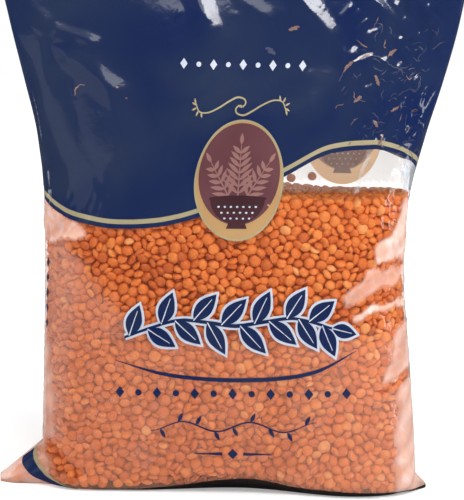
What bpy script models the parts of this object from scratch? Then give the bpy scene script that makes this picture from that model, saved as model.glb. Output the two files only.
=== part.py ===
"""A bag of split red lentils: one clear film tube, sealed flat across its top and its bottom, standing upright.

The lentils fill the lower half and push the tube out into a rounded box. Above them the tube is empty and closes
like a wedge to the flat top seal. Below them the tube folds flat, and the two ends of the folded bottom seal stick
out at the sides as small pointed ears. The model is in metres, +Z up, the printed front faces -Y, and the origin is
under the middle of the bag, at table height. Sizes below are in millimetres.
"""

import math
import random

import bmesh
import bpy
import numpy as np

MM = 0.001

# Driving sizes
BAG_HEIGHT = 211.0
SEAL_FOOT = 200.0  # the top seal starts here
LENTIL_LEVEL = 117.0
LENTIL_DIAMETER = 4.6
HALF_FILM = 0.5  # half of the thickness that the flat, two-layer film has where it is empty
FOOT_RADIUS = 5.0  # the rounding between the walls and the base

# The bag's cross-sections: height, reach to the left, to the right, to the front and to the back, and how square
# the section is across (2 is a plain curve, 3 a rounded box) and in depth (1 is a sharp lens, 3 a rounded box).
SECTIONS = (
    (0.0, 75.2, 73.4, 29.0, 29.0, 3.4, 3.4),
    (16.0, 75.6, 73.2, 31.5, 31.0, 3.3, 3.3),
    (45.0, 75.2, 71.4, 33.0, 32.5, 3.0, 3.0),
    (88.0, 74.4, 68.6, 31.5, 31.5, 2.9, 2.8),
    (117.0, 75.0, 71.0, 29.5, 29.5, 2.8, 2.4),
    (137.0, 77.2, 76.2, 24.5, 24.5, 2.5, 1.9),
    (160.0, 82.6, 83.4, 16.0, 16.0, 2.2, 1.5),
    (185.0, 88.6, 89.9, 6.2, 6.2, 2.0, 1.2),
    (200.0, 91.6, 92.4, 0.2, 0.2, 2.0, 1.0),
    (211.0, 92.0, 92.6, 0.0, 0.0, 2.0, 1.0),
)

# The ears: how far each end of the folded bottom seal sticks out, how high its crease starts on the wall,
# how high its blunt tip is, and how far in from the side its crease meets the base.
LEFT_EAR = {"length": 17.0, "crease_top": 16.5, "tip_height": 5.0, "crease_in": 12.0}
RIGHT_EAR = {"length": 3.6, "crease_top": 11.0, "tip_height": 5.5, "crease_in": 8.0}

# Large folds on the empty front: start and end (across, height), half width and height of the ridge.
# A negative height is a trough.
FRONT_FOLDS = (
    ((-84, 191), (-50, 172), 7.0, 2.0),
    ((-60, 172), (-40, 152), 8.0, -1.4),
    ((-12, 196), (-2, 176), 8.0, 1.9),
    ((30, 197), (41, 172), 6.5, 2.6),
    ((58, 194), (70, 176), 6.5, 1.9),
    ((74, 190), (82, 172), 6.0, 1.5),
    ((6, 138), (44, 178), 9.0, -1.2),
    ((70, 104), (44, 82), 6.0, 1.2),
    ((69, 84), (40, 72), 5.5, 1.1),
    ((-74, 108), (-60, 92), 6.0, 0.9),
)
BACK_FOLDS = (
    ((-70, 190), (-34, 168), 8.0, 1.9),
    ((20, 196), (34, 170), 8.0, 2.0),
    ((60, 186), (48, 160), 7.0, -1.5),
    ((72, 100), (44, 84), 7.0, 1.1),
)

# The front of the base is tucked in under the bag at its middle.
TUCK_DEPTH = 7.0
TUCK_HEIGHT = 9.0
TUCK_HALF_WIDTH = 46.0
TUCK_CENTRE = 3.0

# The long seal down the middle of the back, folded flat to one side.
BACK_SEAL_WIDTH = 11.0
BACK_SEAL_RISE = 0.9

# The grid of the solid's faces
COLUMNS = 38
WALL_RINGS = 44
DENSE_POINTS = 240
SEAL_RIDGES = 4
SEAL_RIDGE_RISE = 0.3


def smooth(x):
    """0 below 0, 1 above 1, and an even S between."""
    x = np.clip(x, 0.0, 1.0)
    return x * x * (3 - 2 * x)


def section_at(height):
    """The section's six sizes at a height, on a smooth curve through SECTIONS."""
    table = np.array(SECTIONS)
    heights = table[:, 0]
    slopes = np.gradient(table, heights, axis=0)
    i = int(np.clip(np.searchsorted(heights, height) - 1, 0, len(heights) - 2))
    span = heights[i + 1] - heights[i]
    t = np.clip((height - heights[i]) / span, 0.0, 1.0)
    a, b = table[i], table[i + 1]
    rise_a, rise_b = slopes[i] * span, slopes[i + 1] * span
    sizes = (
        a * (2 * t**3 - 3 * t**2 + 1)
        + rise_a * (t**3 - 2 * t**2 + t)
        + b * (3 * t**2 - 2 * t**3)
        + rise_b * (t**3 - t**2)
    )
    return np.maximum(sizes[1:], 0.0)


def foot_inset(height):
    """How far the rounded foot draws every wall in."""
    up = min(max(height / FOOT_RADIUS, 0.0), 1.0)
    return 0.8 * FOOT_RADIUS * (1 - math.sqrt(1 - (1 - up) ** 2))


def ear_at(ear, height):
    """(how far the ear sticks out, how far in its crease lies) at a height."""
    down = (ear["crease_top"] - height) / (ear["crease_top"] - ear["tip_height"])
    out = ear["length"] * min(max(down, 0.0), 1.0)
    inward = ear["crease_in"] * min(max(1 - height / ear["crease_top"], 0.0), 1.0)
    return out, inward


def half_section(height, back):
    """The dense line of the bag's front or back half at a height, from the left tip to the right tip."""
    left, right, front_depth, back_depth, across, deep = section_at(height)
    inset = foot_inset(height)
    depth = max((back_depth if back else front_depth) - inset, 0.0)
    angle = np.linspace(math.pi, 0.0, DENSE_POINTS)
    reach = np.where(angle > math.pi / 2, left, right) - inset
    x = reach * np.sign(np.cos(angle)) * np.abs(np.cos(angle)) ** (2 / across)
    y = HALF_FILM + depth * np.abs(np.sin(angle)) ** (2 / deep)
    if not back:
        tuck = smooth(1 - height / TUCK_HEIGHT) * smooth(1 - np.abs(x - TUCK_CENTRE) / TUCK_HALF_WIDTH)
        y = y - TUCK_DEPTH * tuck
    line = np.stack([x, y], axis=1)
    for side, ear in ((-1, LEFT_EAR), (1, RIGHT_EAR)):
        out, inward = ear_at(ear, height)
        if out > 0:
            edge = side * x.max() if side > 0 else x.min()
            kept = line[side * line[:, 0] < side * edge - inward]
            tip = np.array([[edge + side * out, HALF_FILM]])
            line = np.concatenate([kept, tip] if side > 0 else [tip, kept])
    return line * np.array([1.0, 1.0 if back else -1.0])


def evenly(line, count):
    """count + 1 points at equal steps along a line."""
    steps = np.linalg.norm(np.diff(line, axis=0), axis=1)
    along = np.concatenate([[0.0], np.cumsum(steps)])
    wanted = np.linspace(0.0, along[-1], count + 1)
    return np.stack([np.interp(wanted, along, line[:, k]) for k in range(2)], axis=1)


def fold_rise(across, height, folds):
    """The rise of the named folds at a place on the front or the back."""
    rise = 0.0
    for start, end, half_width, top in folds:
        start, end = np.array(start, float), np.array(end, float)
        run = end - start
        place = np.array([across, height]) - start
        t = float(np.clip(place @ run / (run @ run), 0.0, 1.0))
        away = float(np.linalg.norm(place - t * run)) / half_width
        if away < 1:
            ends = smooth(4 * t + 0.25) * smooth(4 * (1 - t) + 0.25)
            rise += top * ends * (1 - away) ** 2 * (1 + 2 * away)
    return rise


def relief(point, height, back, draw):
    """How far the skin stands out of its plain section: the folds, the back seal and the lentils behind the film."""
    across = point[0]
    rise = fold_rise(across, height, BACK_FOLDS if back else FRONT_FOLDS)
    if back and 0 <= across <= BACK_SEAL_WIDTH and height > FOOT_RADIUS:
        rise += BACK_SEAL_RISE
    if FOOT_RADIUS < height < LENTIL_LEVEL:
        rise += draw.uniform(-0.1, 0.1) * 0.7 * LENTIL_DIAMETER
    return rise


def outward(line, index, back):
    """The unit direction that points out of the bag at one point of a half section."""
    before, after = line[max(index - 1, 0)], line[min(index + 1, len(line) - 1)]
    along = after - before
    normal = np.array([-along[1], along[0]]) if back else np.array([along[1], -along[0]])
    return normal / np.linalg.norm(normal)


def ring(height, draw):
    """The closed outline of the bag at a height: along the front to the right, and along the back to the left."""
    points = []
    for back in (False, True):
        line = evenly(half_section(height, back), COLUMNS)
        fade = smooth((SEAL_FOOT - height) / 8)
        half = []
        for index, point in enumerate(line):
            edge = min(index, COLUMNS - index) / 2
            rise = relief(point, height, back, draw) * min(edge, 1.0) * fade
            moved = point + outward(line, index, back) * rise
            half.append((moved[0], moved[1], height))
        points += reversed(half) if back else half
    return points


def seal_rings():
    """The crimped top seal: flat rings, every other one a little thicker."""
    rings = []
    count = 2 * SEAL_RIDGES
    for step in range(1, count + 1):
        height = SEAL_FOOT + (BAG_HEIGHT - SEAL_FOOT) * step / count
        thick = SEAL_RIDGE_RISE * (step % 2)
        flat = []
        for back in (False, True):
            line = evenly(half_section(height, back), COLUMNS)
            side = 1.0 if back else -1.0
            half = [(x, side * (HALF_FILM + thick), height) for x, _ in line]
            flat += reversed(half) if back else half
        rings.append(flat)
    return rings


def wall_heights():
    """Ring heights from the table to the top seal, closer together at the rounded foot and the ears."""
    low = [0.0, 0.5, 1.5, 3.0, 5.0]
    step = (SEAL_FOOT - low[-1]) / WALL_RINGS
    return low + [low[-1] + step * (k + 1) for k in range(WALL_RINGS)]


def bag_mesh():
    """The closed skin of the whole bag, as one loft with a flat base."""
    draw = random.Random(7)
    rings = [ring(height, draw) for height in wall_heights()] + seal_rings()
    lows = np.min(np.array(rings), axis=(0, 1))
    highs = np.max(np.array(rings), axis=(0, 1))
    shift = np.array([(lows[0] + highs[0]) / 2, (lows[1] + highs[1]) / 2, lows[2]])
    mesh = bmesh.new()
    rows = [[mesh.verts.new((np.array(p) - shift) * MM) for p in points] for points in rings]
    for low, high in zip(rows, rows[1:]):
        for i in range(len(low)):
            j = (i + 1) % len(low)
            mesh.faces.new((low[i], low[j], high[j], high[i]))
    mesh.faces.new(list(reversed(rows[0])))
    mesh.faces.new(rows[-1])
    bmesh.ops.recalc_face_normals(mesh, faces=mesh.faces)
    return mesh


def film_over_lentils():
    """The look of the solid: glossy clear film close over orange lentils."""
    material = bpy.data.materials.new("film_over_lentils")
    material.use_nodes = True
    shader = material.node_tree.nodes["Principled BSDF"]
    shader.inputs["Base Color"].default_value = (0.76, 0.25, 0.07, 1.0)
    shader.inputs["Roughness"].default_value = 0.3
    shader.inputs["Metallic"].default_value = 0.0
    return material


def build():
    for old in list(bpy.data.objects):
        bpy.data.objects.remove(old)
    mesh = bag_mesh()
    data = bpy.data.meshes.new("lentil_bag")
    mesh.to_mesh(data)
    mesh.free()
    bag = bpy.data.objects.new("lentil_bag", data)
    bpy.context.scene.collection.objects.link(bag)
    data.materials.append(film_over_lentils())
    data.shade_smooth()
    data.set_sharp_from_angle(angle=math.radians(50))


build()
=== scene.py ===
# %% [markdown]
# # A bag of split red lentils
# The real thing is one tube of clear printed film. Its top and its bottom are sealed flat, a third seal
# runs down the middle of its back, and about 800 g of lentils push the lower half out into a rounded box.
# This lesson builds the film as one surface with coordinates of its own, lays the printing on it, and packs
# real lentils behind it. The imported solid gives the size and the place, and the film built here keeps to
# its box within a millimetre.

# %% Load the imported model
import math
import random

import bmesh
import bpy
import numpy as np
from mathutils import Matrix, Vector
from mathutils.kdtree import KDTree


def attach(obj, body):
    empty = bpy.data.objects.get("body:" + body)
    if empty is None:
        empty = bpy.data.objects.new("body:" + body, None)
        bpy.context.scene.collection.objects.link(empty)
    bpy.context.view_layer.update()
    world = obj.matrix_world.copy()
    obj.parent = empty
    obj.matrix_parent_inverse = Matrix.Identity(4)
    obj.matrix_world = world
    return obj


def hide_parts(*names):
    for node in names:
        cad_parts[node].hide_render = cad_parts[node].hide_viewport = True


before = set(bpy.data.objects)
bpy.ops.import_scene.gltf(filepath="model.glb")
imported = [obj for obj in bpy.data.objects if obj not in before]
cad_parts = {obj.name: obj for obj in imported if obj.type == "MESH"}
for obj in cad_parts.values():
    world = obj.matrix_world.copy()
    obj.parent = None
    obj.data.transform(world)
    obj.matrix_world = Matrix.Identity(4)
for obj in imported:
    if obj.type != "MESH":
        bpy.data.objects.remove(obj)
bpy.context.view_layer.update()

MM = 0.001

# %% [markdown]
# ## The form of the film
# A filled bag could be sculpted or inflated by cloth simulation, but its form follows a simple rule: at
# each height the film is a closed loop of about the same length, wide and deep around the lentils, and wide
# and flat at the seals. So the film is a stack of rounded-box sections whose sizes change smoothly with the
# height. These are the solid's own sections, with slightly lower ears, read here on a grid of about one
# millimetre.

# %% The section sizes, in millimetres
BAG_HEIGHT = 211.0
SEAL_FOOT = 200.0
LENTIL_LEVEL = 117.0
LENTIL_DIAMETER = 4.6
HALF_FILM = 0.5
FOOT_RADIUS = 5.0
FOOT_INSET_SHARE = 0.8
POINTS_OF_A_HALF = 480

# Height, reach to the left, to the right, to the front and to the back, squareness across and in depth
SECTIONS = (
    (0.0, 75.2, 73.4, 29.0, 29.0, 3.4, 3.4),
    (16.0, 75.6, 73.2, 31.5, 31.0, 3.3, 3.3),
    (45.0, 75.2, 71.4, 33.0, 32.5, 3.0, 3.0),
    (88.0, 74.4, 68.6, 31.5, 31.5, 2.9, 2.8),
    (117.0, 75.0, 71.0, 29.5, 29.5, 2.8, 2.4),
    (137.0, 77.2, 76.2, 24.5, 24.5, 2.5, 1.9),
    (160.0, 82.6, 83.4, 16.0, 16.0, 2.2, 1.5),
    (185.0, 88.6, 89.9, 6.2, 6.2, 2.0, 1.2),
    (200.0, 91.6, 92.4, 0.2, 0.2, 2.0, 1.0),
    (211.0, 92.0, 92.6, 0.0, 0.0, 2.0, 1.0),
)
LEFT_EAR = {"length": 17.0, "crease_top": 16.0, "tip_height": 3.4, "crease_in": 12.0}
RIGHT_EAR = {"length": 4.4, "crease_top": 6.0, "tip_height": 1.8, "crease_in": 8.0}
TUCK_DEPTH = 7.0
TUCK_HEIGHT = 9.0
TUCK_HALF_WIDTH = 46.0
TUCK_CENTRE = 3.0


def smooth(x):
    """0 below 0, 1 above 1, and an even S between."""
    x = np.clip(x, 0.0, 1.0)
    return x * x * (3 - 2 * x)


def unit(vectors):
    """Vectors scaled to length one."""
    return vectors / np.maximum(np.linalg.norm(vectors, axis=-1, keepdims=True), 1e-9)


def section_at(height):
    """The section's six sizes at a height, on a smooth curve through SECTIONS."""
    table = np.array(SECTIONS)
    heights = table[:, 0]
    slopes = np.gradient(table, heights, axis=0)
    i = int(np.clip(np.searchsorted(heights, height) - 1, 0, len(heights) - 2))
    span = heights[i + 1] - heights[i]
    t = np.clip((height - heights[i]) / span, 0.0, 1.0)
    sizes = (
        table[i] * (2 * t**3 - 3 * t**2 + 1)
        + slopes[i] * span * (t**3 - 2 * t**2 + t)
        + table[i + 1] * (3 * t**2 - 2 * t**3)
        + slopes[i + 1] * span * (t**3 - t**2)
    )
    return np.maximum(sizes[1:], 0.0)


def foot_inset(height):
    """How far the rounded foot draws every wall in."""
    up = min(max(height / FOOT_RADIUS, 0.0), 1.0)
    return FOOT_INSET_SHARE * FOOT_RADIUS * (1 - math.sqrt(1 - (1 - up) ** 2))


def ear_at(ear, height):
    """(how far the ear sticks out, how far in its crease lies) at a height."""
    down = (ear["crease_top"] - height) / (ear["crease_top"] - ear["tip_height"])
    out = ear["length"] * min(max(down, 0.0), 1.0)
    inward = ear["crease_in"] * min(max(1 - height / ear["crease_top"], 0.0), 1.0)
    return out, inward


def half_section(height, back):
    """The dense line of the front or back half at a height, from the left tip to the right tip."""
    left, right, front_depth, back_depth, across, deep = section_at(height)
    inset = foot_inset(height)
    depth = max((back_depth if back else front_depth) - inset, 0.0)
    angle = np.linspace(math.pi, 0.0, POINTS_OF_A_HALF)
    reach = np.where(angle > math.pi / 2, left, right) - inset
    x = reach * np.sign(np.cos(angle)) * np.abs(np.cos(angle)) ** (2 / across)
    y = HALF_FILM + depth * np.abs(np.sin(angle)) ** (2 / deep)
    if not back:
        tuck = smooth(1 - height / TUCK_HEIGHT) * smooth(1 - np.abs(x - TUCK_CENTRE) / TUCK_HALF_WIDTH)
        y = y - TUCK_DEPTH * tuck
    line = np.stack([x, y], axis=1)
    for side, ear in ((-1, LEFT_EAR), (1, RIGHT_EAR)):
        out, inward = ear_at(ear, height)
        if out > 0:
            edge = x.max() if side > 0 else x.min()
            kept = line[side * line[:, 0] < side * edge - inward]
            tip = np.array([[edge + side * (out + inset), HALF_FILM]])
            line = np.concatenate([kept, tip] if side > 0 else [tip, kept])
    return line * np.array([1.0, 1.0 if back else -1.0])


def evenly(line, count):
    """count + 1 points at equal steps along a line."""
    steps = np.linalg.norm(np.diff(line, axis=0), axis=1)
    along = np.concatenate([[0.0], np.cumsum(steps)])
    wanted = np.linspace(0.0, along[-1], count + 1)
    return np.stack([np.interp(wanted, along, line[:, k]) for k in range(line.shape[1])], axis=1)


# %% [markdown]
# ## Coordinates on the film
# Printing, folds and haze all belong to the film, so they are placed in the film's own flat coordinates: s
# counts equal steps round the tube, close to millimetres, from the left edge over the front (-92.4 to 92.4)
# and on over the back, and z is the height. The helper on_film turns them into a place in space. It reads
# the grid by linear interpolation, so any shape drawn flat follows the bag when its points pass through it.

# %% The grid of the plain film
FILM_HALF = 92.4
COLUMNS = 184
RING = 2 * COLUMNS
COLUMN_STEP = 2 * FILM_HALF / COLUMNS
SEAM_S = 2 * FILM_HALF
SEAL_ROWS = 33
HEIGHTS = np.concatenate(
    [[0.0, 0.6, 1.2, 2.0, 3.0, 4.0], np.arange(5.0, SEAL_FOOT), np.linspace(SEAL_FOOT, BAG_HEIGHT, SEAL_ROWS)]
)


def plain_ring(height):
    """One closed loop of the film: along the front to the right, then along the back to the left."""
    front = evenly(half_section(height, False), COLUMNS)
    back = evenly(half_section(height, True), COLUMNS)
    line = np.concatenate([front[:-1], back[::-1][:-1]])
    return np.column_stack([line, np.full(len(line), height)])


def outward_normals(grid):
    """The unit outward direction at every point of a ring grid."""
    around = np.roll(grid, -1, axis=1) - np.roll(grid, 1, axis=1)
    return unit(np.cross(around, np.gradient(grid, axis=0)))


EAR_LEAN = 13.0
RIGHT_FOOT_OUT = 8.5
LEFT_FOOT_OUT = 4.0
CENTRE_OFF = (0.13, -0.23, 0.0)  # how far the sections' middle is off the solid's


def ear_share(x, z):
    """1 in the ears of the bottom seal, 0 in the body."""
    left_ear = smooth((-70 - x) / 20) * smooth((20 - z) / 14)
    right_ear = smooth((x - 64) / 10) * smooth((16 - z) / 12)
    return left_ear + right_ear


def stand(grid):
    """The stance of the filled bag: both ears lean forward, and its front feet stand further out."""
    x, y, z = grid[..., 0], grid[..., 1], grid[..., 2]
    ears = ear_share(x, z)
    right_foot = smooth((x - 5) / 60) * smooth((36 - z) / 34) * (y < 0) * (1 - ears)
    left_foot = smooth((-38 - x) / 26) * smooth((30 - z) / 30) * (y < 0) * (1 - ears)
    grid[..., 1] = y - EAR_LEAN * ears - RIGHT_FOOT_OUT * right_foot - LEFT_FOOT_OUT * left_foot
    return grid


PLAIN = stand(np.array([plain_ring(float(height)) for height in HEIGHTS]))
PLAIN -= np.array(CENTRE_OFF)
PLAIN_NORMALS = outward_normals(PLAIN)
GRID_S = np.broadcast_to(-FILM_HALF + COLUMN_STEP * np.arange(RING), PLAIN.shape[:2])
GRID_Z = PLAIN[..., 2]
GRID_X = PLAIN[..., 0]
GRID_IS_BACK = np.broadcast_to(np.arange(RING) >= COLUMNS, PLAIN.shape[:2])
print("film grid:", PLAIN.shape[0], "rows of", RING, "points, mm:", np.ptp(PLAIN, axis=(0, 1)).round(1))


def read_grid(grid, s, z):
    """The grid's value at film coordinates, between its points by linear interpolation."""
    u = (np.asarray(s, float) + FILM_HALF) / COLUMN_STEP
    v = np.interp(z, HEIGHTS, np.arange(len(HEIGHTS)))
    column = np.floor(u).astype(int)
    row = np.clip(np.floor(v).astype(int), 0, len(HEIGHTS) - 2)
    fu, fv = u - column, v - row
    if grid.ndim == 3:
        fu, fv = fu[..., None], fv[..., None]
    left, right = column % RING, (column + 1) % RING
    low = grid[row, left] * (1 - fu) + grid[row, right] * fu
    high = grid[row + 1, left] * (1 - fu) + grid[row + 1, right] * fu
    return low * (1 - fv) + high * fv


# %% [markdown]
# ## Lentils
# A split red lentil is a disc 4 to 5 mm across, flatter on the side where it came apart. What shows through
# the film is only the outer layer or two, so a slab of lentils is packed behind the film and another under
# the level top, over a closed core. Rigid body simulation of ten thousand lentils is slow, so they are
# packed here by relaxation: each is an ellipsoid, and every pair that overlaps is pushed apart along the
# line between them until the pile is at rest. The packing is done flat, in film coordinates and depth, and
# then bent round the bag.

# %% How the lentils are packed
LENTIL_HALF_THICKNESS = 0.23  # share of the diameter
SLAB_DEPTH = 8.4
SLAB_FOOT = 0.3
FILM_CLEARANCE = 0.45
PACKED_SHARE = 0.66
RELAX_STEPS = 72
STEPS_PER_SEARCH = 12
SEARCH_REACH = 5.2
DEEPEST_KEPT = 6.9  # the core hides the lentils behind this depth
PUSH_SHARE = 0.36
LONGEST_PUSH = 0.8
DRIFT = 0.02
SLAB_SEED = 11
TOP_SEED = 23


def random_directions(draw, count, towards_wall, level=0.0):
    """Unit normals of the discs: towards_wall lays them flat against the wall, and level lays them level."""
    lean = draw.normal(size=(count, 3))
    lean[:, 2] += np.sign(lean[:, 2]) * towards_wall * draw.random(count)
    lean[:, 1] += np.sign(lean[:, 1]) * level * draw.random(count)
    return unit(lean)


def random_places(draw, count, *ranges):
    """Places spread evenly over a box, given by its range along each axis."""
    return np.column_stack([draw.uniform(low, high, count) for low, high in ranges])


def support(radius, normal, direction):
    """How far an ellipsoid disc reaches along a direction."""
    along = np.abs(np.sum(normal * direction, axis=-1))
    thin = 2 * LENTIL_HALF_THICKNESS * radius
    return np.sqrt(radius**2 * (1 - along**2) + thin**2 * along**2)


def search_tree(places):
    """A tree that finds the places near another."""
    tree = KDTree(len(places))
    for index, place in enumerate(places):
        tree.insert(place, index)
    tree.balance()
    return tree


def close_pairs(places, period):
    """Index pairs of lentils within reach of each other. The slab closes on itself round the tube."""
    wrapped = np.concatenate([places, places + [period, 0, 0]]) if period else places
    tree = search_tree(wrapped)
    firsts, seconds = [], []
    count = len(places)
    for index, place in enumerate(wrapped[:count]):
        for _, other, _ in tree.find_range(place, SEARCH_REACH):
            if other > index:
                firsts.append(index)
                seconds.append(other % count)
    return np.array(firsts), np.array(seconds)


def relax(places, radii, normals, hold, period=0.0):
    """Pushes overlapping lentils apart, and keeps them inside by the hold function."""
    for step in range(RELAX_STEPS):
        if step % STEPS_PER_SEARCH == 0:
            first, second = close_pairs(places, period)
        apart = places[second] - places[first]
        if period:
            apart[:, 0] -= period * np.round(apart[:, 0] / period)
        distance = np.maximum(np.linalg.norm(apart, axis=1), 1e-6)
        direction = apart / distance[:, None]
        reaches = [support(radii[side], normals[side], direction) for side in (first, second)]
        push = PUSH_SHARE * np.maximum(sum(reaches) - distance, 0.0)[:, None] * direction
        move = np.zeros_like(places)
        np.add.at(move, first, -push)
        np.add.at(move, second, push)
        places = hold(places + np.clip(move, -LONGEST_PUSH, LONGEST_PUSH))
    return places


def lentil_radii(draw, count):
    """Half diameters: most are near the mean, and a few are small."""
    return LENTIL_DIAMETER / 2 * np.clip(draw.normal(1.0, 0.085, count), 0.72, 1.17)


# %% Pack the slab behind the film
SLAB_LENGTH = RING * COLUMN_STEP
slab_draw = np.random.default_rng(SLAB_SEED)
lentil_volume = 4 / 3 * math.pi * (LENTIL_DIAMETER / 2) ** 3 * 2 * LENTIL_HALF_THICKNESS
slab_volume = SLAB_LENGTH * (LENTIL_LEVEL - SLAB_FOOT) * SLAB_DEPTH
slab_count = int(PACKED_SHARE * slab_volume / lentil_volume)
slab_radii = lentil_radii(slab_draw, slab_count)
slab_normals = random_directions(slab_draw, slab_count, 1.3, 1.1)
slab_places = random_places(
    slab_draw, slab_count, (-FILM_HALF, SLAB_LENGTH - FILM_HALF), (SLAB_FOOT, LENTIL_LEVEL), (0.0, SLAB_DEPTH)
)
DEPTH_AXIS = np.array([0.0, 0.0, 1.0])
HEIGHT_AXIS = np.array([0.0, 1.0, 0.0])
UP = np.array([0.0, 0.0, 1.0])
slab_deep = support(slab_radii, slab_normals, DEPTH_AXIS)
slab_tall = support(slab_radii, slab_normals, HEIGHT_AXIS)


def hold_in_slab(places):
    """Behind the film, above the base, below the level, with a slight drift towards the film."""
    held = places.copy()
    held[:, 0] = (held[:, 0] + FILM_HALF) % SLAB_LENGTH - FILM_HALF
    held[:, 1] = np.clip(held[:, 1], SLAB_FOOT + slab_tall, LENTIL_LEVEL - slab_tall)
    held[:, 2] = np.clip(held[:, 2] - DRIFT, slab_deep, SLAB_DEPTH)
    return held


slab_places = relax(hold_in_slab(slab_places), slab_radii, slab_normals, hold_in_slab, SLAB_LENGTH)
print("lentils behind the film:", slab_count)

# %% Pack the slab under the level top
TOP_DEPTH = 6.0
TOP_INSET = 5.0
TOP_ACROSS = (-68.0, 64.0)
TOP_REACH = 25.0
TOP_AREA = 132.0 * 48.0
top_draw = np.random.default_rng(TOP_SEED)


def half_depth_at(x, height):
    """Half of the bag's depth at a place across it, by its section."""
    left, right, front_depth, _, across, deep = section_at(height)
    share = np.clip(np.abs(x) / np.where(x < 0, left, right), 0.0, 1.0)
    return front_depth * (1 - share**across) ** (1 / deep)


def hold_under_top(places):
    """Inside the film's loop and under the level."""
    held = places.copy()
    limit = np.maximum(half_depth_at(held[:, 0], LENTIL_LEVEL) - TOP_INSET, 0.0)
    held[:, 0] = np.clip(held[:, 0], *TOP_ACROSS)
    held[:, 1] = np.clip(held[:, 1], -limit, limit)
    held[:, 2] = np.clip(held[:, 2] - DRIFT, top_deep, TOP_DEPTH)
    return held


top_count = int(PACKED_SHARE * TOP_AREA * TOP_DEPTH / lentil_volume)
top_radii = lentil_radii(top_draw, top_count)
top_normals = random_directions(top_draw, top_count, 1.2)
top_deep = support(top_radii, top_normals, DEPTH_AXIS)
top_places = random_places(top_draw, top_count, TOP_ACROSS, (-TOP_REACH, TOP_REACH), (0.0, TOP_DEPTH))
top_places = relax(hold_under_top(top_places), top_radii, top_normals, hold_under_top)
print("lentils under the top:", top_count)

# %% Bend both slabs into the bag
# The ears are too thin for the whole slab: where they are, and the room that they leave
EAR_TOP = 19.0
EAR_HALF_DEPTH = 9.0
EAR_START = 70.0
EAR_WALL = 1.4
LEAST_EAR_ROOM = 1.8


def heap_level(x, y):
    """How much the heap's top stands above or below its mean level. It is a little lower at the front."""
    return 0.9 * np.sin(x / 21.0 + 1.0) + 0.5 * np.sin(x / 8.0) - 1.2 * smooth(-y / 24.0)


slab_skin = read_grid(PLAIN, *slab_places[:, :2].T)
slab_out = unit(read_grid(PLAIN_NORMALS, *slab_places[:, :2].T))
from_middle = np.abs(slab_skin[:, 1] + EAR_LEAN * ear_share(slab_skin[:, 0], slab_skin[:, 2]))
in_ear = (slab_places[:, 1] < EAR_TOP) & (np.abs(slab_skin[:, 0]) > EAR_START)
in_ear &= from_middle < EAR_HALF_DEPTH
ear_room = from_middle - EAR_WALL
slab_kept = ~in_ear | ((slab_places[:, 2] < ear_room) & (ear_room > LEAST_EAR_ROOM))
slab_world = slab_skin - slab_out * (slab_places[:, 2] + FILM_CLEARANCE)[:, None]
slab_up = unit(np.cross(slab_out, np.cross(UP, slab_out)))
slab_side = np.cross(slab_up, slab_out)
slab_axes = slab_side * slab_normals[:, :1] + slab_up * slab_normals[:, 1:2] - slab_out * slab_normals[:, 2:]
slab_world[:, 2] += heap_level(slab_world[:, 0], slab_world[:, 1]) * smooth((slab_places[:, 1] - 92) / 25)
top_world = np.column_stack([top_places[:, 0], top_places[:, 1], LENTIL_LEVEL - top_places[:, 2]])
top_world[:, 2] += heap_level(top_world[:, 0], top_world[:, 1])
top_axes = top_normals * np.array([1.0, 1.0, -1.0])

# Stray lentils that cling to the back film above the heap: film coordinates and how far behind the film
STRAYS = ((158.5, 119.8, 1.5), (149.2, 120.6, 1.4))
STRAY_RADIUS = 1.9
stray_s, stray_z, stray_deep = (np.array(values) for values in zip(*STRAYS))
stray_axes = read_grid(PLAIN_NORMALS, stray_s, stray_z)
stray_world = read_grid(PLAIN, stray_s, stray_z) - stray_axes * stray_deep[:, None]

slab_drop = support(slab_radii, slab_axes, UP)
slab_kept &= (slab_world[:, 2] - slab_drop > 0.1) & (slab_places[:, 2] < DEEPEST_KEPT)
lentil_world = np.concatenate([slab_world[slab_kept], top_world, stray_world])
lentil_axes = np.concatenate([slab_axes[slab_kept], top_axes, stray_axes])
lentil_radius = np.concatenate([slab_radii[slab_kept], top_radii, np.full(len(STRAYS), STRAY_RADIUS)])
lentil_deep = np.concatenate([slab_places[slab_kept, 2], top_places[:, 2], np.zeros(len(STRAYS))])
print("lentils in all:", len(lentil_world))

# %% [markdown]
# ## Folds, creases and bumps in the film
# Film can't stretch, so wherever the bag is fuller or emptier than its tube it folds. Each named fold is a
# line on the film with a half width and a height. Small creases are the same kind of line, drawn at random
# where the photo shows crumpled film. Over the lentils the film is drawn tight, and it takes a shallow bump
# from each one.

# %% The film's relief
# start (across, height), end, half width, height of the ridge (negative is a trough), in millimetres
FRONT_FOLDS = (
    ((20, 150), (50, 178), 9.0, -0.5),
    ((70, 104), (44, 82), 6.0, 1.2),
    ((69, 84), (40, 72), 5.5, 1.1),
    ((-74, 108), (-60, 92), 6.0, 0.9),
)
BACK_FOLDS = (
    ((-70, 190), (-34, 168), 8.0, 1.9),
    ((20, 196), (34, 170), 8.0, 2.0),
    ((60, 186), (48, 160), 7.0, -1.5),
    ((72, 100), (44, 84), 7.0, 1.1),
)
# Sharp creases on the front
FRONT_CREASES = (
    ((43, 171), (47, 160), 2.0, 0.4),
    ((44.5, 160), (47.5, 166), 1.6, 0.4),
    ((47.5, 166), (55, 170), 1.8, 0.5),
    ((55, 170), (62, 166), 1.6, 0.5),
    ((62, 166), (69, 163), 1.6, 0.5),
    ((62, 172), (57, 158), 1.8, 0.5),
    ((66, 152), (60, 142), 1.8, 0.5),
    ((59, 140), (55, 128), 1.5, 0.6),
    ((55, 128), (51, 118), 1.5, 0.6),
    ((68, 97), (55, 91), 1.6, 0.8),
    ((66, 77), (50, 68), 1.6, 0.8),
    ((56, 93), (43, 75), 2.2, 0.6),
    ((-73, 112), (-60, 101), 1.8, 0.5),
    ((-72, 18), (-54, 4), 3.2, -1.1),
)
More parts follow.
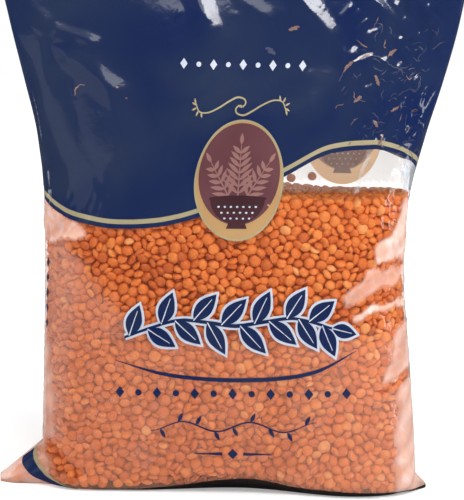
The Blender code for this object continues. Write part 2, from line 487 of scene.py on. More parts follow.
# Creases with flat flanks, which mirror the light as filled wedges
FRONT_TENTS = (
    ((-90, 198), (-70, 179.5), 5.0, 1.9),
    ((-72, 181), (-50, 172.5), 4.0, 1.3),
    ((-70, 175), (-40, 152), 6.0, 1.3),
    ((22, 197.5), (48.5, 165.5), 5.5, 1.34),
    ((48, 196.5), (70.5, 179), 4.2, 1.1),
    ((68, 197), (82, 179), 3.4, 1.4),
    ((-16, 199), (-6.5, 176), 6.5, 0.8),
    ((1, 194), (16.5, 183), 4.0, 0.42),
    ((-60, 186), (-34, 122), 15.0, 1.5),
    ((-76, 182), (-71, 126), 13.0, 1.2),
    ((-6, 178), (-24, 124), 13.0, -1.3),
    ((30, 166), (33, 138), 12.0, 0.8),
)
# Random creases: how many, the range across, the range of heights, whether on the back, strength
CRUMPLED = (
    (150, (52, 86), (122, 178), False, 1.0),
    (34, (44, 84), (168, 192), False, 1.0),
    (8, (-60, 40), (180, 194), False, 0.5),
    (60, (56, 74), (40, 118), False, 0.9),
    (90, (-84, 84), (140, 192), True, 1.0),
    (30, (-70, 70), (20, 120), True, 0.5),
    (44, (62, 88), (148, 197), False, 1.2),
)
CREASE_SEED = 5
EDGE_FADE = 9.0


def along_and_away(s, z, start, end):
    """How far along a line (0 to 1), and how far away from it, places on the film lie."""
    run = np.array(end, float) - start
    t = np.clip(((s - start[0]) * run[0] + (z - start[1]) * run[1]) / (run @ run), 0.0, 1.0)
    return t, np.hypot(s - start[0] - t * run[0], z - start[1] - t * run[1])


def line_rise(start, end, half_width, top, shape):
    """The rise of one fold over the grid: round, sharp (a thin crest) or tent (flat flanks)."""
    t, away = along_and_away(GRID_X, GRID_Z, start, end)
    away = away / half_width
    ends = smooth(4 * t + 0.25) * smooth(4 * (1 - t) + 0.25)
    inside = np.clip(1 - away, 0.0, 1.0)
    profiles = {"round": inside**2 * (1 + 2 * away), "sharp": inside**2, "tent": inside}
    return top * ends * profiles[shape]


def crumple(draw, count, across_range, height_range, side_is_back):
    """Random sharp creases in a region of the front or the back."""
    rise = np.zeros(GRID_Z.shape)
    for _ in range(count):
        middle = np.array([draw.uniform(*across_range), draw.uniform(*height_range)])
        angle = math.radians(draw.choice([62, 118, 90, 35, 145]) + draw.uniform(-22, 22))
        half_run = draw.uniform(1.2, 4.5) * np.array([math.cos(angle), math.sin(angle)])
        half_width = draw.uniform(1.2, 2.2)
        top = draw.choice([1, 1, -1]) * draw.uniform(0.12, 0.34) * half_width
        rise += line_rise(middle - half_run, middle + half_run, half_width, top, "sharp")
    return rise * (GRID_IS_BACK == side_is_back)


relief = np.zeros(GRID_Z.shape)
for named_lines, shape, is_back in (
    (FRONT_FOLDS, "round", False), (FRONT_CREASES, "sharp", False), (FRONT_TENTS, "tent", False),
    (BACK_FOLDS, "round", True),
):
    for line in named_lines:
        relief += (GRID_IS_BACK == is_back) * line_rise(*line, shape)
crease_draw = random.Random(CREASE_SEED)
for count, across_range, height_range, is_back, strength in CRUMPLED:
    relief += crumple(crease_draw, count, across_range, height_range, is_back) * strength

# Long, shallow waves of the slack film
relief += 0.5 * np.sin(GRID_S / 13.0 + GRID_Z / 17.0) * smooth((GRID_Z - 118) / 25)
side_s = np.min([np.abs(GRID_S - edge) for edge in (-FILM_HALF, FILM_HALF, 3 * FILM_HALF)], axis=0)
relief *= smooth(side_s / EDGE_FADE) * smooth((SEAL_FOOT - GRID_Z) / 8)

# The bumps of the lentils that touch the film
BUMP = 0.22
BUMP_CELLS = np.arange(-3, 4)
BUMP_SPREAD = 1.25
TOUCHING_GAP = 0.9
bumps = np.full(GRID_Z.shape, -BUMP)
touching = slab_kept & (slab_places[:, 2] - slab_deep < TOUCHING_GAP)
for place, radius, depth in zip(slab_places[touching], slab_radii[touching], slab_deep[touching]):
    rows = np.clip(np.searchsorted(HEIGHTS, place[1]) + BUMP_CELLS, 0, len(HEIGHTS) - 1)
    columns = round((place[0] + FILM_HALF) / COLUMN_STEP) + BUMP_CELLS
    s_away = (columns * COLUMN_STEP - FILM_HALF) - place[0]
    z_away = HEIGHTS[rows] - place[1]
    away = np.hypot(s_away[None, :], z_away[:, None]) / (BUMP_SPREAD * radius)
    cap = BUMP - (place[2] - depth) * 0.5 - 0.5 * away**2
    window = np.ix_(rows, columns % RING)
    bumps[window] = np.maximum(bumps[window], cap)
relief += bumps * smooth((GRID_Z - 3) / 5) * smooth((LENTIL_LEVEL + 2 - GRID_Z) / 5) * smooth(side_s / 4)

# The crimps of the top seal
CRIMP_PITCH = 1.5
CRIMP_DEPTH = 0.22
crimps = np.sin(2 * math.pi * (GRID_Z - SEAL_FOOT) / CRIMP_PITCH)
relief += CRIMP_DEPTH * crimps * (GRID_Z > SEAL_FOOT + 0.5)

SKIN = PLAIN + PLAIN_NORMALS * relief[..., None]
SKIN_NORMALS = outward_normals(SKIN)
print("film relief, mm:", relief.min().round(2), "to", relief.max().round(2))


def on_film(s, z, lift=0.0):
    """Places on the outer face of the film, in metres, lift millimetres above it."""
    normal = unit(read_grid(SKIN_NORMALS, s, z))
    place = read_grid(SKIN, s, z) + normal * np.asarray(lift)[..., None]
    place[..., 2] = np.maximum(place[..., 2], 0.0)
    return place * MM


# %% [markdown]
# ## Sheets of film
# The lower edge of the blue printing is a wave, so the film is cut into bands whose rows run from one line
# to the next: the dark base, clear, a thin blue stripe, a gold stripe and the blue field. The dark base is
# print and painted shadow in one. Each band is a grid between two lines round the tube, and neighbours
# share their columns, so no gap opens between them.
# Drawing the wave in a shader would be shorter, but real edges stay sharp in any view.


# %% Curves and bands
def through(points, steps=12):
    """A smooth line through points (a Catmull-Rom curve)."""
    knots = np.array(points, float)
    padded = np.concatenate([[2 * knots[0] - knots[1]], knots, [2 * knots[-1] - knots[-2]]])
    line = []
    for i in range(len(knots) - 1):
        a, b, c, d = padded[i : i + 4]
        square, cube = 2 * a - 5 * b + 4 * c - d, 3 * b - a - 3 * c + d
        for t in np.linspace(0, 1, steps, endpoint=False):
            line.append(0.5 * (2 * b + (c - a) * t + square * t**2 + cube * t**3))
    return np.array(line + [knots[-1]])


# The middle of the gold stripe, in film coordinates
FRONT_WAVE = (
    (-92.4, 117.0), (-81.4, 115.7), (-70.3, 111.6), (-62.3, 109.0), (-48.2, 106.7), (-38.2, 106.4),
    (-29.1, 106.9), (-21.1, 108.0), (-10.0, 110.9), (8.0, 118.0), (26.1, 127.2), (39.2, 133.9),
    (48.2, 136.0), (58.3, 136.6), (64.3, 136.4), (71.3, 135.0), (79.3, 132.2), (85.4, 129.8),
    (92.4, 127.4),
)
RIGHT_BACK_WAVE = (
    (92.4, 127.4), (94.4, 122.0), (97.0, 119.0), (99.6, 121.0), (102.0, 129.5), (110.0, 132.0),
    (128.0, 138.0), (144.0, 146.0), (164.0, 152.0), (184.0, 153.0),
)
LEFT_BACK_WAVE = (
    (184.8, 120.0), (200.0, 112.0), (220.0, 107.5), (240.0, 107.5), (260.0, 112.0), (277.2, 117.0),
)
GOLD_HALF = 0.9
STRIPE_WIDTH = 1.75
TOOTH_DEPTH = 0.8

# The upper edge of the dark band at the base, where the blue print and the shadow under the bag are painted
# as one near-black
BASE_BAND = (
    (-92.4, 0.0), (-52.0, 0.0), (-45.0, 0.9), (-30.0, 1.2), (-13.0, 2.8), (-2.0, 4.8), (7.0, 6.2),
    (15.0, 6.2), (22.0, 5.0), (30.0, 3.4), (44.0, 2.8), (66.0, 2.0), (80.0, 1.3), (104.0, 1.8),
    (124.0, 3.0), (184.8, 6.0), (240.0, 3.0), (264.0, 1.6), (277.2, 0.0),
)

ALL_ROUND = -FILM_HALF + COLUMN_STEP * np.arange(RING)


def grid_faces(line_count, width, closed=False, flip=False):
    """Faces between neighbouring lines of points. A closed grid joins its last column to its first."""
    faces = []
    for low in range(0, (line_count - 1) * width, width):
        for left in range(width if closed else width - 1):
            right = (left + 1) % width
            face = (low + left, low + right, low + width + right, low + width + left)
            faces.append(face[::-1] if flip else face)
    return faces


def band(low, high, rows, s_values=ALL_ROUND, closed=True, lift=0.0):
    """Points and faces of a grid on the film between two lines, each the height at every s."""
    share = np.linspace(0.0, 1.0, rows + 1)[:, None]
    s, z, lift = np.broadcast_arrays(s_values, low * (1 - share) + high * share, lift)
    return on_film(s, z, lift).reshape(-1, 3), grid_faces(rows + 1, len(s_values), closed)


def joined(parts):
    """Several (points, faces) as one."""
    points, faces, start = [], [], 0
    for part_points, part_faces in parts:
        points.append(part_points)
        faces += [tuple(start + i for i in face) for face in part_faces]
        start += len(part_points)
    return np.concatenate(points), faces


def add_object(name, data):
    """A new object in the scene."""
    added = bpy.data.objects.new(name, data)
    bpy.context.scene.collection.objects.link(added)
    return added


def as_object(name, parts, weld=1e-6):
    """A smooth mesh object from a list of (points, faces)."""
    points, faces = joined(parts)
    data = bpy.data.meshes.new(name)
    data.from_pydata(points.tolist(), [], faces)
    form = bmesh.new()
    form.from_mesh(data)
    bmesh.ops.remove_doubles(form, verts=form.verts, dist=weld)
    bmesh.ops.dissolve_degenerate(form, edges=form.edges, dist=weld)
    form.to_mesh(data)
    form.free()
    data.shade_smooth()
    print(name, "has", sum(len(face.vertices) - 2 for face in data.polygons), "triangles")
    return add_object(name, data)


# %% The bands of the tube
wave_line = np.concatenate([through(part) for part in (FRONT_WAVE, RIGHT_BACK_WAVE, LEFT_BACK_WAVE)])
gold_middle = np.interp(ALL_ROUND, *wave_line.T)
gold_foot = gold_middle - GOLD_HALF
gold_top = gold_middle + GOLD_HALF
clear_top = gold_foot - STRIPE_WIDTH
base_top = np.maximum(np.interp(ALL_ROUND, *through(BASE_BAND).T), 0.0)
seal_top = BAG_HEIGHT - TOOTH_DEPTH * (np.arange(RING) % 2)

CLEAR_ROWS = 116
BASE_ROWS = 5
STRIPE_ROWS = 2
FIELD_ROWS = 78
clear_parts = [band(base_top, clear_top, CLEAR_ROWS)]
base_print_and_shadow_parts = [band(0.0, base_top, BASE_ROWS)]
gold_parts = [band(gold_foot, gold_top, STRIPE_ROWS)]
blue_parts = [
    band(clear_top, gold_foot, STRIPE_ROWS),
    band(gold_top, SEAL_FOOT, FIELD_ROWS),
    band(SEAL_FOOT, seal_top, SEAL_ROWS - 1),
]

# %% [markdown]
# ## The seals
# The bottom seal is a flat crimped strip. When the bag stands it is folded under, and only its two ends
# show as the ears. The long back seal is a fin of two layers, folded flat to one side. Both are thin strips
# laid against the film. The back seal is made as bands like those of the tube, so the printing runs across
# it.

# %% The folded base and the back seal
BASE_HALF_GAP = 0.3
BASE_LIFT = 0.9


def base_film(rows=10):
    """The film under the bag, from the foot of the walls to the seal in its middle."""
    foot = on_film(ALL_ROUND, np.zeros(RING))
    share = np.linspace(0.0, 1.0, rows + 1)[:, None, None]
    half_gap = np.where(GRID_IS_BACK[0], BASE_HALF_GAP, -BASE_HALF_GAP)
    lean = EAR_LEAN * ear_share(foot[:, 0] / MM, 0.0)
    middle = np.column_stack([foot[:, 0], (half_gap - lean) * MM, np.full(RING, BASE_LIFT * MM)])
    points = (foot * (1 - share) + middle * share).reshape(-1, 3)
    return points, grid_faces(rows + 1, RING, closed=True, flip=True)


BASE_SEAL_ACROSS = (-88.0, 75.0)
BASE_SEAL_DEEP = 10.0
BASE_SEAL_LIFT = 0.45
BASE_CRIMP = 0.12


def base_seal():
    """The bottom seal, folded back under the bag: a thin strip with crimps that narrows towards both ears."""
    across = np.linspace(*BASE_SEAL_ACROSS, 82)
    start = -EAR_LEAN * ear_share(across, 0.0)
    narrowing = smooth((across + 91) / 26) * smooth((77 - across) / 14)
    deep = np.linspace(0.0, BASE_SEAL_DEEP, 28)
    points = []
    for y in deep:
        lift = BASE_SEAL_LIFT + BASE_CRIMP * math.sin(2 * math.pi * y / CRIMP_PITCH)
        points += [(x * MM, (a + y * b) * MM, lift * MM) for x, a, b in zip(across, start, narrowing)]
    return np.array(points), grid_faces(len(deep), len(across), flip=True)


FIN_WIDTH = 11.0
FIN_COLUMNS = 12
FIN_CLEAR_ROWS = 140
FIN_FIELD_ROWS = 46
FIN_LIFT = 0.35
FIN_EDGE_LIFT = 0.9
FIN_FOOT, FIN_STRIPE, FIN_GOLD, FIN_FIELD, FIN_TOP = 6.0, 148.2, 150.0, 152.0, 199.0
fin_s = np.linspace(SEAM_S - FIN_WIDTH, SEAM_S, FIN_COLUMNS)
fin_lift = FIN_LIFT + FIN_EDGE_LIFT * np.linspace(1.0, 0.0, FIN_COLUMNS) ** 2


def fin(low, high, rows):
    """A stretch of the back seal between two heights."""
    return band(low, high, rows, fin_s, False, fin_lift)


# The film under the bag and its folded seal take the same near-black: painted shade
base_print_and_shadow_parts += [base_film(), base_seal()]
blue_parts += [fin(FIN_STRIPE, FIN_GOLD, STRIPE_ROWS), fin(FIN_FIELD, FIN_TOP, FIN_FIELD_ROWS)]
gold_parts += [fin(FIN_GOLD, FIN_FIELD, STRIPE_ROWS)]
clear_parts += [fin(FIN_FOOT, FIN_STRIPE, FIN_CLEAR_ROWS)]

# %% [markdown]
# ## Printed shapes
# The printing on the front is thin ink, so each shape is drawn flat in film coordinates and laid a tenth to
# a third of a millimetre above the film. A broad shape is cut along a grid first, because a large flat face
# would dive under the curved film. Lines are strips with a width at every point. All the motifs are plain
# ones: an oval with a leafy sprig over a bowl, a scroll, a branch of leaves, and rows of small leaves and
# diamonds.

# %% Drawing helpers
INK_CELL = 1.5


def filled(outline, lift):
    """A closed flat outline, cut on a grid and laid on the film."""
    form = bmesh.new()
    face = form.faces.new([form.verts.new((x, y, 0.0)) for x, y in outline])
    turned_area = sum(a[0] * b[1] - b[0] * a[1] for a, b in zip(outline, outline[1:] + outline[:1]))
    if face.normal.z < 0 or turned_area < 0:
        face.normal_flip()
    low, high = np.min(outline, axis=0), np.max(outline, axis=0)
    for axis in (0, 1):
        for cut in np.arange(math.ceil(low[axis] / INK_CELL) * INK_CELL, high[axis], INK_CELL):
            place, normal = [0.0, 0.0, 0.0], [0.0, 0.0, 0.0]
            place[axis], normal[axis] = cut, 1.0
            everything = form.verts[:] + form.edges[:] + form.faces[:]
            bmesh.ops.bisect_plane(form, geom=everything, plane_co=place, plane_no=normal, dist=1e-5)
    bmesh.ops.triangulate(form, faces=form.faces)
    form.verts.index_update()
    flat = np.array([vert.co[:2] for vert in form.verts])
    faces = [tuple(vert.index for vert in face.verts) for face in form.faces]
    form.free()
    return on_film(*flat.T, lift), faces


def spread(widths, count):
    """Widths given at a few places, at count even steps along the same line."""
    return np.interp(np.linspace(0, 1, count), np.linspace(0, 1, len(widths)), widths)


def stroke(points, widths, lift, steps=10):
    """A line on the film: a smooth curve through points, with a width at each of them."""
    line = through(points, steps)
    along = unit(np.gradient(line, axis=0))
    aside = np.column_stack([-along[:, 1], along[:, 0]])
    half = spread(widths, len(line)) / 2
    flat = np.concatenate([line + aside * (half * side)[:, None] for side in (-1, 0, 1)])
    return on_film(*flat.T, lift), grid_faces(3, len(line))


def onward(place, angle, run):
    """The place a run away from another, along an angle in degrees."""
    turn = math.radians(angle)
    return (place[0] + run * math.cos(turn), place[1] + run * math.sin(turn))


def leaf(place, angle, length, width, points=9):
    """The outline of a leaf that starts at a place and points along an angle in degrees."""
    t = np.linspace(0.0, 1.0, points)
    half = width / 2 * np.sin(math.pi * t**0.85)
    outline = list(zip(length * t, -half)) + list(zip(length * t, half))[-2:0:-1]
    cos, sin = math.cos(math.radians(angle)), math.sin(math.radians(angle))
    return [(place[0] + a * cos - b * sin, place[1] + a * sin + b * cos) for a, b in outline]


def oval(x, y, across, high, count=40):
    """The outline of an ellipse with these half sizes."""
    turns = [2 * math.pi * i / count for i in range(count)]
    return [(x + across * math.cos(a), y + high * math.sin(a)) for a in turns]


def oval_ring(x, y, across, high, width, lift, count=96):
    """A thin elliptical ring."""
    rings = [oval(x, y, across - grow, high - grow, count) for grow in (0.0, width / 2, width)]
    return on_film(*np.concatenate(rings).T, lift), grid_faces(3, count, closed=True)


def diamond(x, y, across, high):
    """The outline of a small diamond with these half sizes."""
    return [(x - across, y), (x, y - high), (x + across, y), (x, y + high)]


# %% The oval badge, on the front and on the back
BADGE_ACROSS = 18.2
BADGE_HIGH = 22.9
FRONT_BADGE = (6.4, 122.4)
BACK_BADGE = (136.0, 140.0)
BOWL_ACROSS = 11.0
BOWL_DEEP = 9.4
BOWL_RIM = -7.0
rose_parts, pale_parts = [], []
tan_parts, plum_parts, dark_parts = [], [], []
# The inside copy of the back badge: lighter, glowing inks that paint the light shining through the back film
inner_backlit_tan_parts, inner_backlit_plum_parts, inner_backlit_dark_parts = [], [], []


def sprig(foot, angle, long, side):
    """A stem with pairs of leaves, shorter towards its tip."""
    stem = [onward(foot, angle, t * long) for t in (0.0, 0.5, 1.0)]
    rose_parts.append(stroke(stem, [0.7, 0.5, 0.3], 0.22 * side, 8))
    pairs = int(long / 2.9)
    for level in range(pairs):
        up = 0.10 + 0.86 * level / pairs
        start = onward(foot, angle, up * long)
        leaf_long = long * 0.36 * (1.25 - 0.75 * up)
        for lean in (-50, 50):
            rose_parts.append(filled(leaf(start, angle + lean, leaf_long, 1.6), 0.22 * side))
    rose_parts.append(filled(leaf(stem[-1], angle, 4.4, 1.6), 0.22 * side))


def badge(x, y, side):
    """A gold rim, tan ground and plum field, and sprigs over a bowl. Side is 1 outside and -1 inside, where
    lighter, glowing inks paint the light that shines through the film.
    """
    ground, field, bowl_parts, rim = tan_parts, plum_parts, dark_parts, gold_parts
    if side < 0:
        ground, field, bowl_parts, rim = inner_backlit_tan_parts, inner_backlit_plum_parts, inner_backlit_dark_parts, inner_backlit_tan_parts
    ground.append(filled(oval(x, y, BADGE_ACROSS - 0.5, BADGE_HIGH - 0.5, 72), 0.12 * side))
    rim.append(oval_ring(x, y, BADGE_ACROSS, BADGE_HIGH, 0.8, 0.2 * side))
    field.append(filled(oval(x, y + 2.4, 16.6, 19.2, 64), 0.17 * side))
    for lean, long in ((0, 20.5), (33, 16.5), (-33, 16.5)):
        sprig((x - 0.09 * lean, y + BOWL_RIM), 90 + lean, long, side)
    turns = np.linspace(math.pi, 2 * math.pi, 24)[1:]
    bowl = [(x - BOWL_ACROSS, y + BOWL_RIM)]
    bowl += [(x + BOWL_ACROSS * math.cos(a), y + BOWL_RIM + BOWL_DEEP * math.sin(a)) for a in turns]
    bowl_parts.append(filled(bowl, 0.26 * side))
    bowl_parts.append(filled(oval(x, y - 6.8, 11.8, 1.2, 28), 0.29 * side))
    foot = [(x - 4.2, y - 18.2), (x + 4.2, y - 18.2), (x + 3.2, y - 15.6), (x - 3.2, y - 15.6)]
    bowl_parts.append(filled(foot, 0.26 * side))
    for row, count in enumerate((7, 6, 5)):
        for i in range(count):
            aside = 2.5 * (i - (count - 1) / 2)
            pale_parts.append(filled(oval(x + aside, y - 9.9 - 2.2 * row, 0.5, 0.38, 8), 0.32 * side))


badge(*FRONT_BADGE, 1)
badge(*BACK_BADGE, 1)
badge(*BACK_BADGE, -1)

# %% The scroll, the branch and the small rows
SCROLL = (5.0, 150.4)
SCROLL_ARM = (
    (-19.0, 1.6), (-17.2, -1.9), (-13.5, -2.4), (-9.0, -0.6), (-4.6, 2.0), (-1.4, 3.4), (1.4, 2.7),
    (1.9, 0.9), (0.3, -0.3), (-1.2, 0.4),
)
SCROLL_LEAVES = (
    ((-18.6, 0.6), 150), ((-18.9, 1.2), 105), ((-18.4, -0.4), 205), ((-17.6, -1.6), 245), ((-16.4, -2.2), 280)
)
for flip, half_turn in ((1, 0), (-1, 180)):
    arm = [(SCROLL[0] + flip * x, SCROLL[1] + flip * y) for x, y in SCROLL_ARM]
    gold_parts.append(stroke(arm, [0.45, 0.6, 0.75, 0.6, 0.4], 0.12))
    for (x, y), angle in SCROLL_LEAVES:
        place = (SCROLL[0] + flip * x, SCROLL[1] + flip * y)
        gold_parts.append(filled(leaf(place, angle + half_turn, 2.3, 0.8, 5), 0.13))

ROW_MIDDLE = 5.0


def ornament_row(target, count, start, step, z, slope, diamond_size, dot_radius, lift):
    """A row of diamonds and dots by turns."""
    for i in range(count):
        x = start + step * i
        place = (x, z - slope * (x - ROW_MIDDLE))
        shape = oval(*place, dot_radius, dot_radius, 14) if i % 2 else diamond(*place, *diamond_size)
        target.append(filled(shape, lift))


# The row near the top, which sinks a little to the right
ornament_row(pale_parts, 9, -19.5, 6.15, 166.4, 0.018, (1.5, 2.1), 1.0, 0.12)

branch_blue, branch_pale = [], []
BRANCH = through([(-38, 62), (-16, 69), (6, 67), (28, 70), (44, 66)], 12)
branch_turn = np.degrees(np.arctan2(*np.gradient(BRANCH, axis=0).T[::-1]))
OUTLINE = 1.0


def branch_leaf(place, angle, length, width):
    """One dark leaf with a pale outline and a pale vein."""
    start = onward(place, angle, -0.9 * OUTLINE)
    branch_pale.append(filled(leaf(start, angle, length + 2.4 * OUTLINE, width + 2 * OUTLINE, 12), 0.10))
    branch_blue.append(filled(leaf(place, angle, length, width, 12), 0.25))
    branch_pale.append(stroke([place, onward(place, angle, 0.8 * length)], [0.45, 0.25], 0.36, 14))


for i, at in enumerate(np.linspace(0.04, 0.94, 14)):
    index = int(at * (len(BRANCH) - 1))
    side = 1 if i % 2 == 0 else -1
    branch_leaf(BRANCH[index], branch_turn[index] + side * 52, 14.5 - 4.0 * abs(at - 0.5), 6.4)
branch_leaf(BRANCH[-1], branch_turn[-1], 10.0, 5.6)
branch_pale.append(stroke(BRANCH[::6], [2.6, 3.2, 2.4], 0.09, 6))
branch_blue.append(stroke(BRANCH[::6], [0.9, 1.5, 0.9], 0.28, 6))
SWEEP = [(-42, 53), (-20, 47.6), (8, 46.0), (34, 48.6), (53, 57)]
branch_blue.append(stroke(SWEEP, [0.2, 1.4, 1.7, 1.5, 0.2], 0.14))

# The level row under the branch
ornament_row(branch_blue, 13, -40, 7.35, 40.6, 0.0, (1.7, 2.2), 1.25, 0.14)
VINE_Z = 27.6


def vine_z(x):
    """Height of the vine, a wavy line."""
    return VINE_Z + 1.9 * math.sin((x - 4) / 4.1)


vine = [(x, vine_z(x)) for x in np.linspace(-28, 36, 33)]
branch_blue.append(stroke(vine, [0.25, 0.6, 0.65, 0.6, 0.25], 0.14, 5))
for i in range(9):
    x = -24.3 + 7.0 * i
    up = 1 if vine_z(x) > VINE_Z else -1
    branch_blue.append(filled(leaf((x, vine_z(x)), 62 * up, 4.2, 1.5, 6), 0.14))

SMALL_X, SMALL_Z = 3.5, 16.8
branch_blue.append(filled(diamond(SMALL_X, SMALL_Z, 2.0, 2.0), 0.14))
for flip in (-1, 1):
    dash = [(SMALL_X + flip * 4, SMALL_Z), (SMALL_X + flip * 15, SMALL_Z)]
    branch_blue.append(stroke(dash, [1.2, 0.3], 0.14, 8))

# Small rows that run up both sides
LEFT_MARKS = ((-76.6, 89), (-76.8, 83), (-76.8, 77), (-76.6, 71), (-76.6, 65))
RIGHT_MARKS = ((86.0, 66), (86.5, 60), (87.0, 54))
for marks, lift in ((LEFT_MARKS, 0.24), (RIGHT_MARKS, 0.14)):
    branch_blue += [filled(diamond(s, z, 1.5, 2.0), lift) for s, z in marks]

# The band that crosses the left ear
EAR_BAND = [
    (-90.5, 11.2), (-87.0, 9.5), (-80.0, 7.0), (-73.3, 4.6), (-67.0, 2.4), (-60.3, 0.9), (-54.0, 0.1),
]
EAR_LINE = [
    (-89.0, 13.4), (-86.0, 11.8), (-79.5, 9.3), (-72.8, 6.8), (-66.3, 4.4), (-59.7, 2.1), (-53.0, 0.5),
]
blue_parts.append(stroke(EAR_BAND, [3.4, 3.4, 3.2, 3.0, 2.6, 1.6, 0.5], 0.14))
gold_parts.append(stroke(EAR_LINE, [1.3, 1.3, 1.3, 1.2, 1.1, 0.8, 0.3], 0.2))

# %% [markdown]
# ## Rubbed spots and painted glints
# The upper right of the bag is crumpled, and the ink has rubbed off on its sharpest corners. Each spot is a
# short irregular stroke where the fold is, brown where the ink is gone and blue grey where it is only dulled.
# Both also stand for light: the brown strokes for painted warm reflections in the creases, and the blue grey
# ones and the thin marks for painted glints.

# %% Lay the rubbed spots and the painted glints
# Brown strokes of rubbed ink, which also stand for painted warm reflections in the creases
# Points on the film (s, height) and the width at each
RUBBED_AND_REFLECTION_SPOTS = (
    (((23.0, 179.8), (25.2, 180.4), (27.3, 180.8)), (0.9, 1.7, 0.8)),
    (((46.6, 163.3), (48.2, 165.6), (50.2, 167.2)), (0.4, 1.7, 0.9)),
    (((50.2, 167.2), (54.2, 169.2), (58.3, 169.8)), (0.9, 1.6, 0.4)),
    (((64.3, 169.4), (66.2, 171.0), (68.3, 172.2)), (1.0, 1.9, 0.7)),
    (((60.0, 162.2), (61.2, 160.2), (62.3, 158.2)), (0.8, 1.5, 0.6)),
    (((52.0, 151.8), (53.6, 152.9), (55.2, 154.2)), (0.7, 1.6, 0.8)),
    (((68.0, 147.9), (69.8, 149.0), (71.5, 149.9)), (0.6, 1.3, 0.7)),
    (((61.0, 145.2), (62.2, 143.8), (63.1, 142.2)), (0.8, 1.5, 0.6)),
    (((65.4, 139.8), (64.5, 137.6), (63.2, 135.2)), (0.5, 1.2, 0.5)),
    (((-66.3, 154.0), (-66.2, 156.6), (-64.2, 158.2), (-61.4, 158.3)), (0.3, 0.7, 0.5, 0.3)),
    (((-47.8, 157.2), (-46.6, 156.8)), (0.9, 0.7)),
    (((-43.6, 153.2), (-42.6, 152.8)), (0.7, 0.6)),
)
# Blue grey strokes of dulled ink, which also stand for painted glints on the creases
DULLED_AND_GLINT_SPOTS = (
    (((14.0, 173.2), (16.0, 171.9), (18.2, 170.2)), (1.4, 2.3, 1.0)),
    (((45.0, 159.8), (46.0, 161.6), (46.8, 163.6)), (0.3, 0.6, 0.4)),
    (((58.3, 169.8), (62.3, 168.6), (66.3, 166.0), (73.3, 163.0)), (0.4, 0.6, 0.5, 0.4)),
)
WEAR_AND_GLINT_SEED = 17
wear_and_glint_draw = random.Random(WEAR_AND_GLINT_SEED)


def spot_stroke(points, widths, lift):
    """A worn spot along a fold, which also carries painted light: its line and its width both waver."""
    line = through(points, 5)
    line = line + np.array([[wear_and_glint_draw.gauss(0, 0.16), wear_and_glint_draw.gauss(0, 0.16)] for _ in line])
    ragged = [wide * wear_and_glint_draw.uniform(0.55, 1.15) for wide in spread(widths, len(line))[1:-1]]
    return stroke(line, [0.08, *ragged, 0.08], lift, 1)


def crinkle_mark(s, z, angle, steps):
    """A thin broken line where crumpled film has lost its ink, which also stands for a painted glint: a short
    walk with kinks.
    """
    points = [(s, z)]
    for _ in range(steps):
        angle += wear_and_glint_draw.choice([-1, 1]) * wear_and_glint_draw.uniform(0.15, 0.9)
        run = wear_and_glint_draw.uniform(0.5, 1.6)
        points.append((points[-1][0] + run * math.cos(angle), points[-1][1] + run * math.sin(angle)))
    widths = [0.06, *[wear_and_glint_draw.uniform(0.12, 0.55) for _ in points[1:-1]], 0.06]
    return stroke(points, widths, 0.13, 1)


rubbed_and_reflection_parts = [spot_stroke(points, widths, 0.14) for points, widths in RUBBED_AND_REFLECTION_SPOTS]
dulled_and_glint_parts = [spot_stroke(points, widths, 0.13) for points, widths in DULLED_AND_GLINT_SPOTS]

# Thin marks of lost and dulled ink over the crumpled corner, which also stand for painted glints
CRINKLE_MARKS = 96
CRINKLE_MARKS_FROM = 47
CRINKLE_MARKS_REACH = 38
CRINKLE_MARK_HEIGHTS = (133, 181)
for i in range(CRINKLE_MARKS):
    s = CRINKLE_MARKS_FROM + CRINKLE_MARKS_REACH * wear_and_glint_draw.random() ** 0.75
    z = wear_and_glint_draw.uniform(*CRINKLE_MARK_HEIGHTS)
    mark_target = rubbed_and_reflection_parts if i % 9 == 0 else dulled_and_glint_parts
    mark_target.append(crinkle_mark(s, z, wear_and_glint_draw.uniform(0, 2 * math.pi), wear_and_glint_draw.randint(2, 5)))

# %% [markdown]
# ## Haze on the film
# Where the film lies tight on the lentils it all but disappears. Where it stands off them, at folds and
# near the base, its faint matt skin scatters the light and turns the lentils behind it salmon pink. That
# haze can't come from the geometry, so it is painted as an attribute on the film's points, from the same
# kind of lines as the folds. Its salmon tone is painted light, the orange of the lentils scattered in the
# haze, and the palest streaks are painted glints and sheen on the folds.

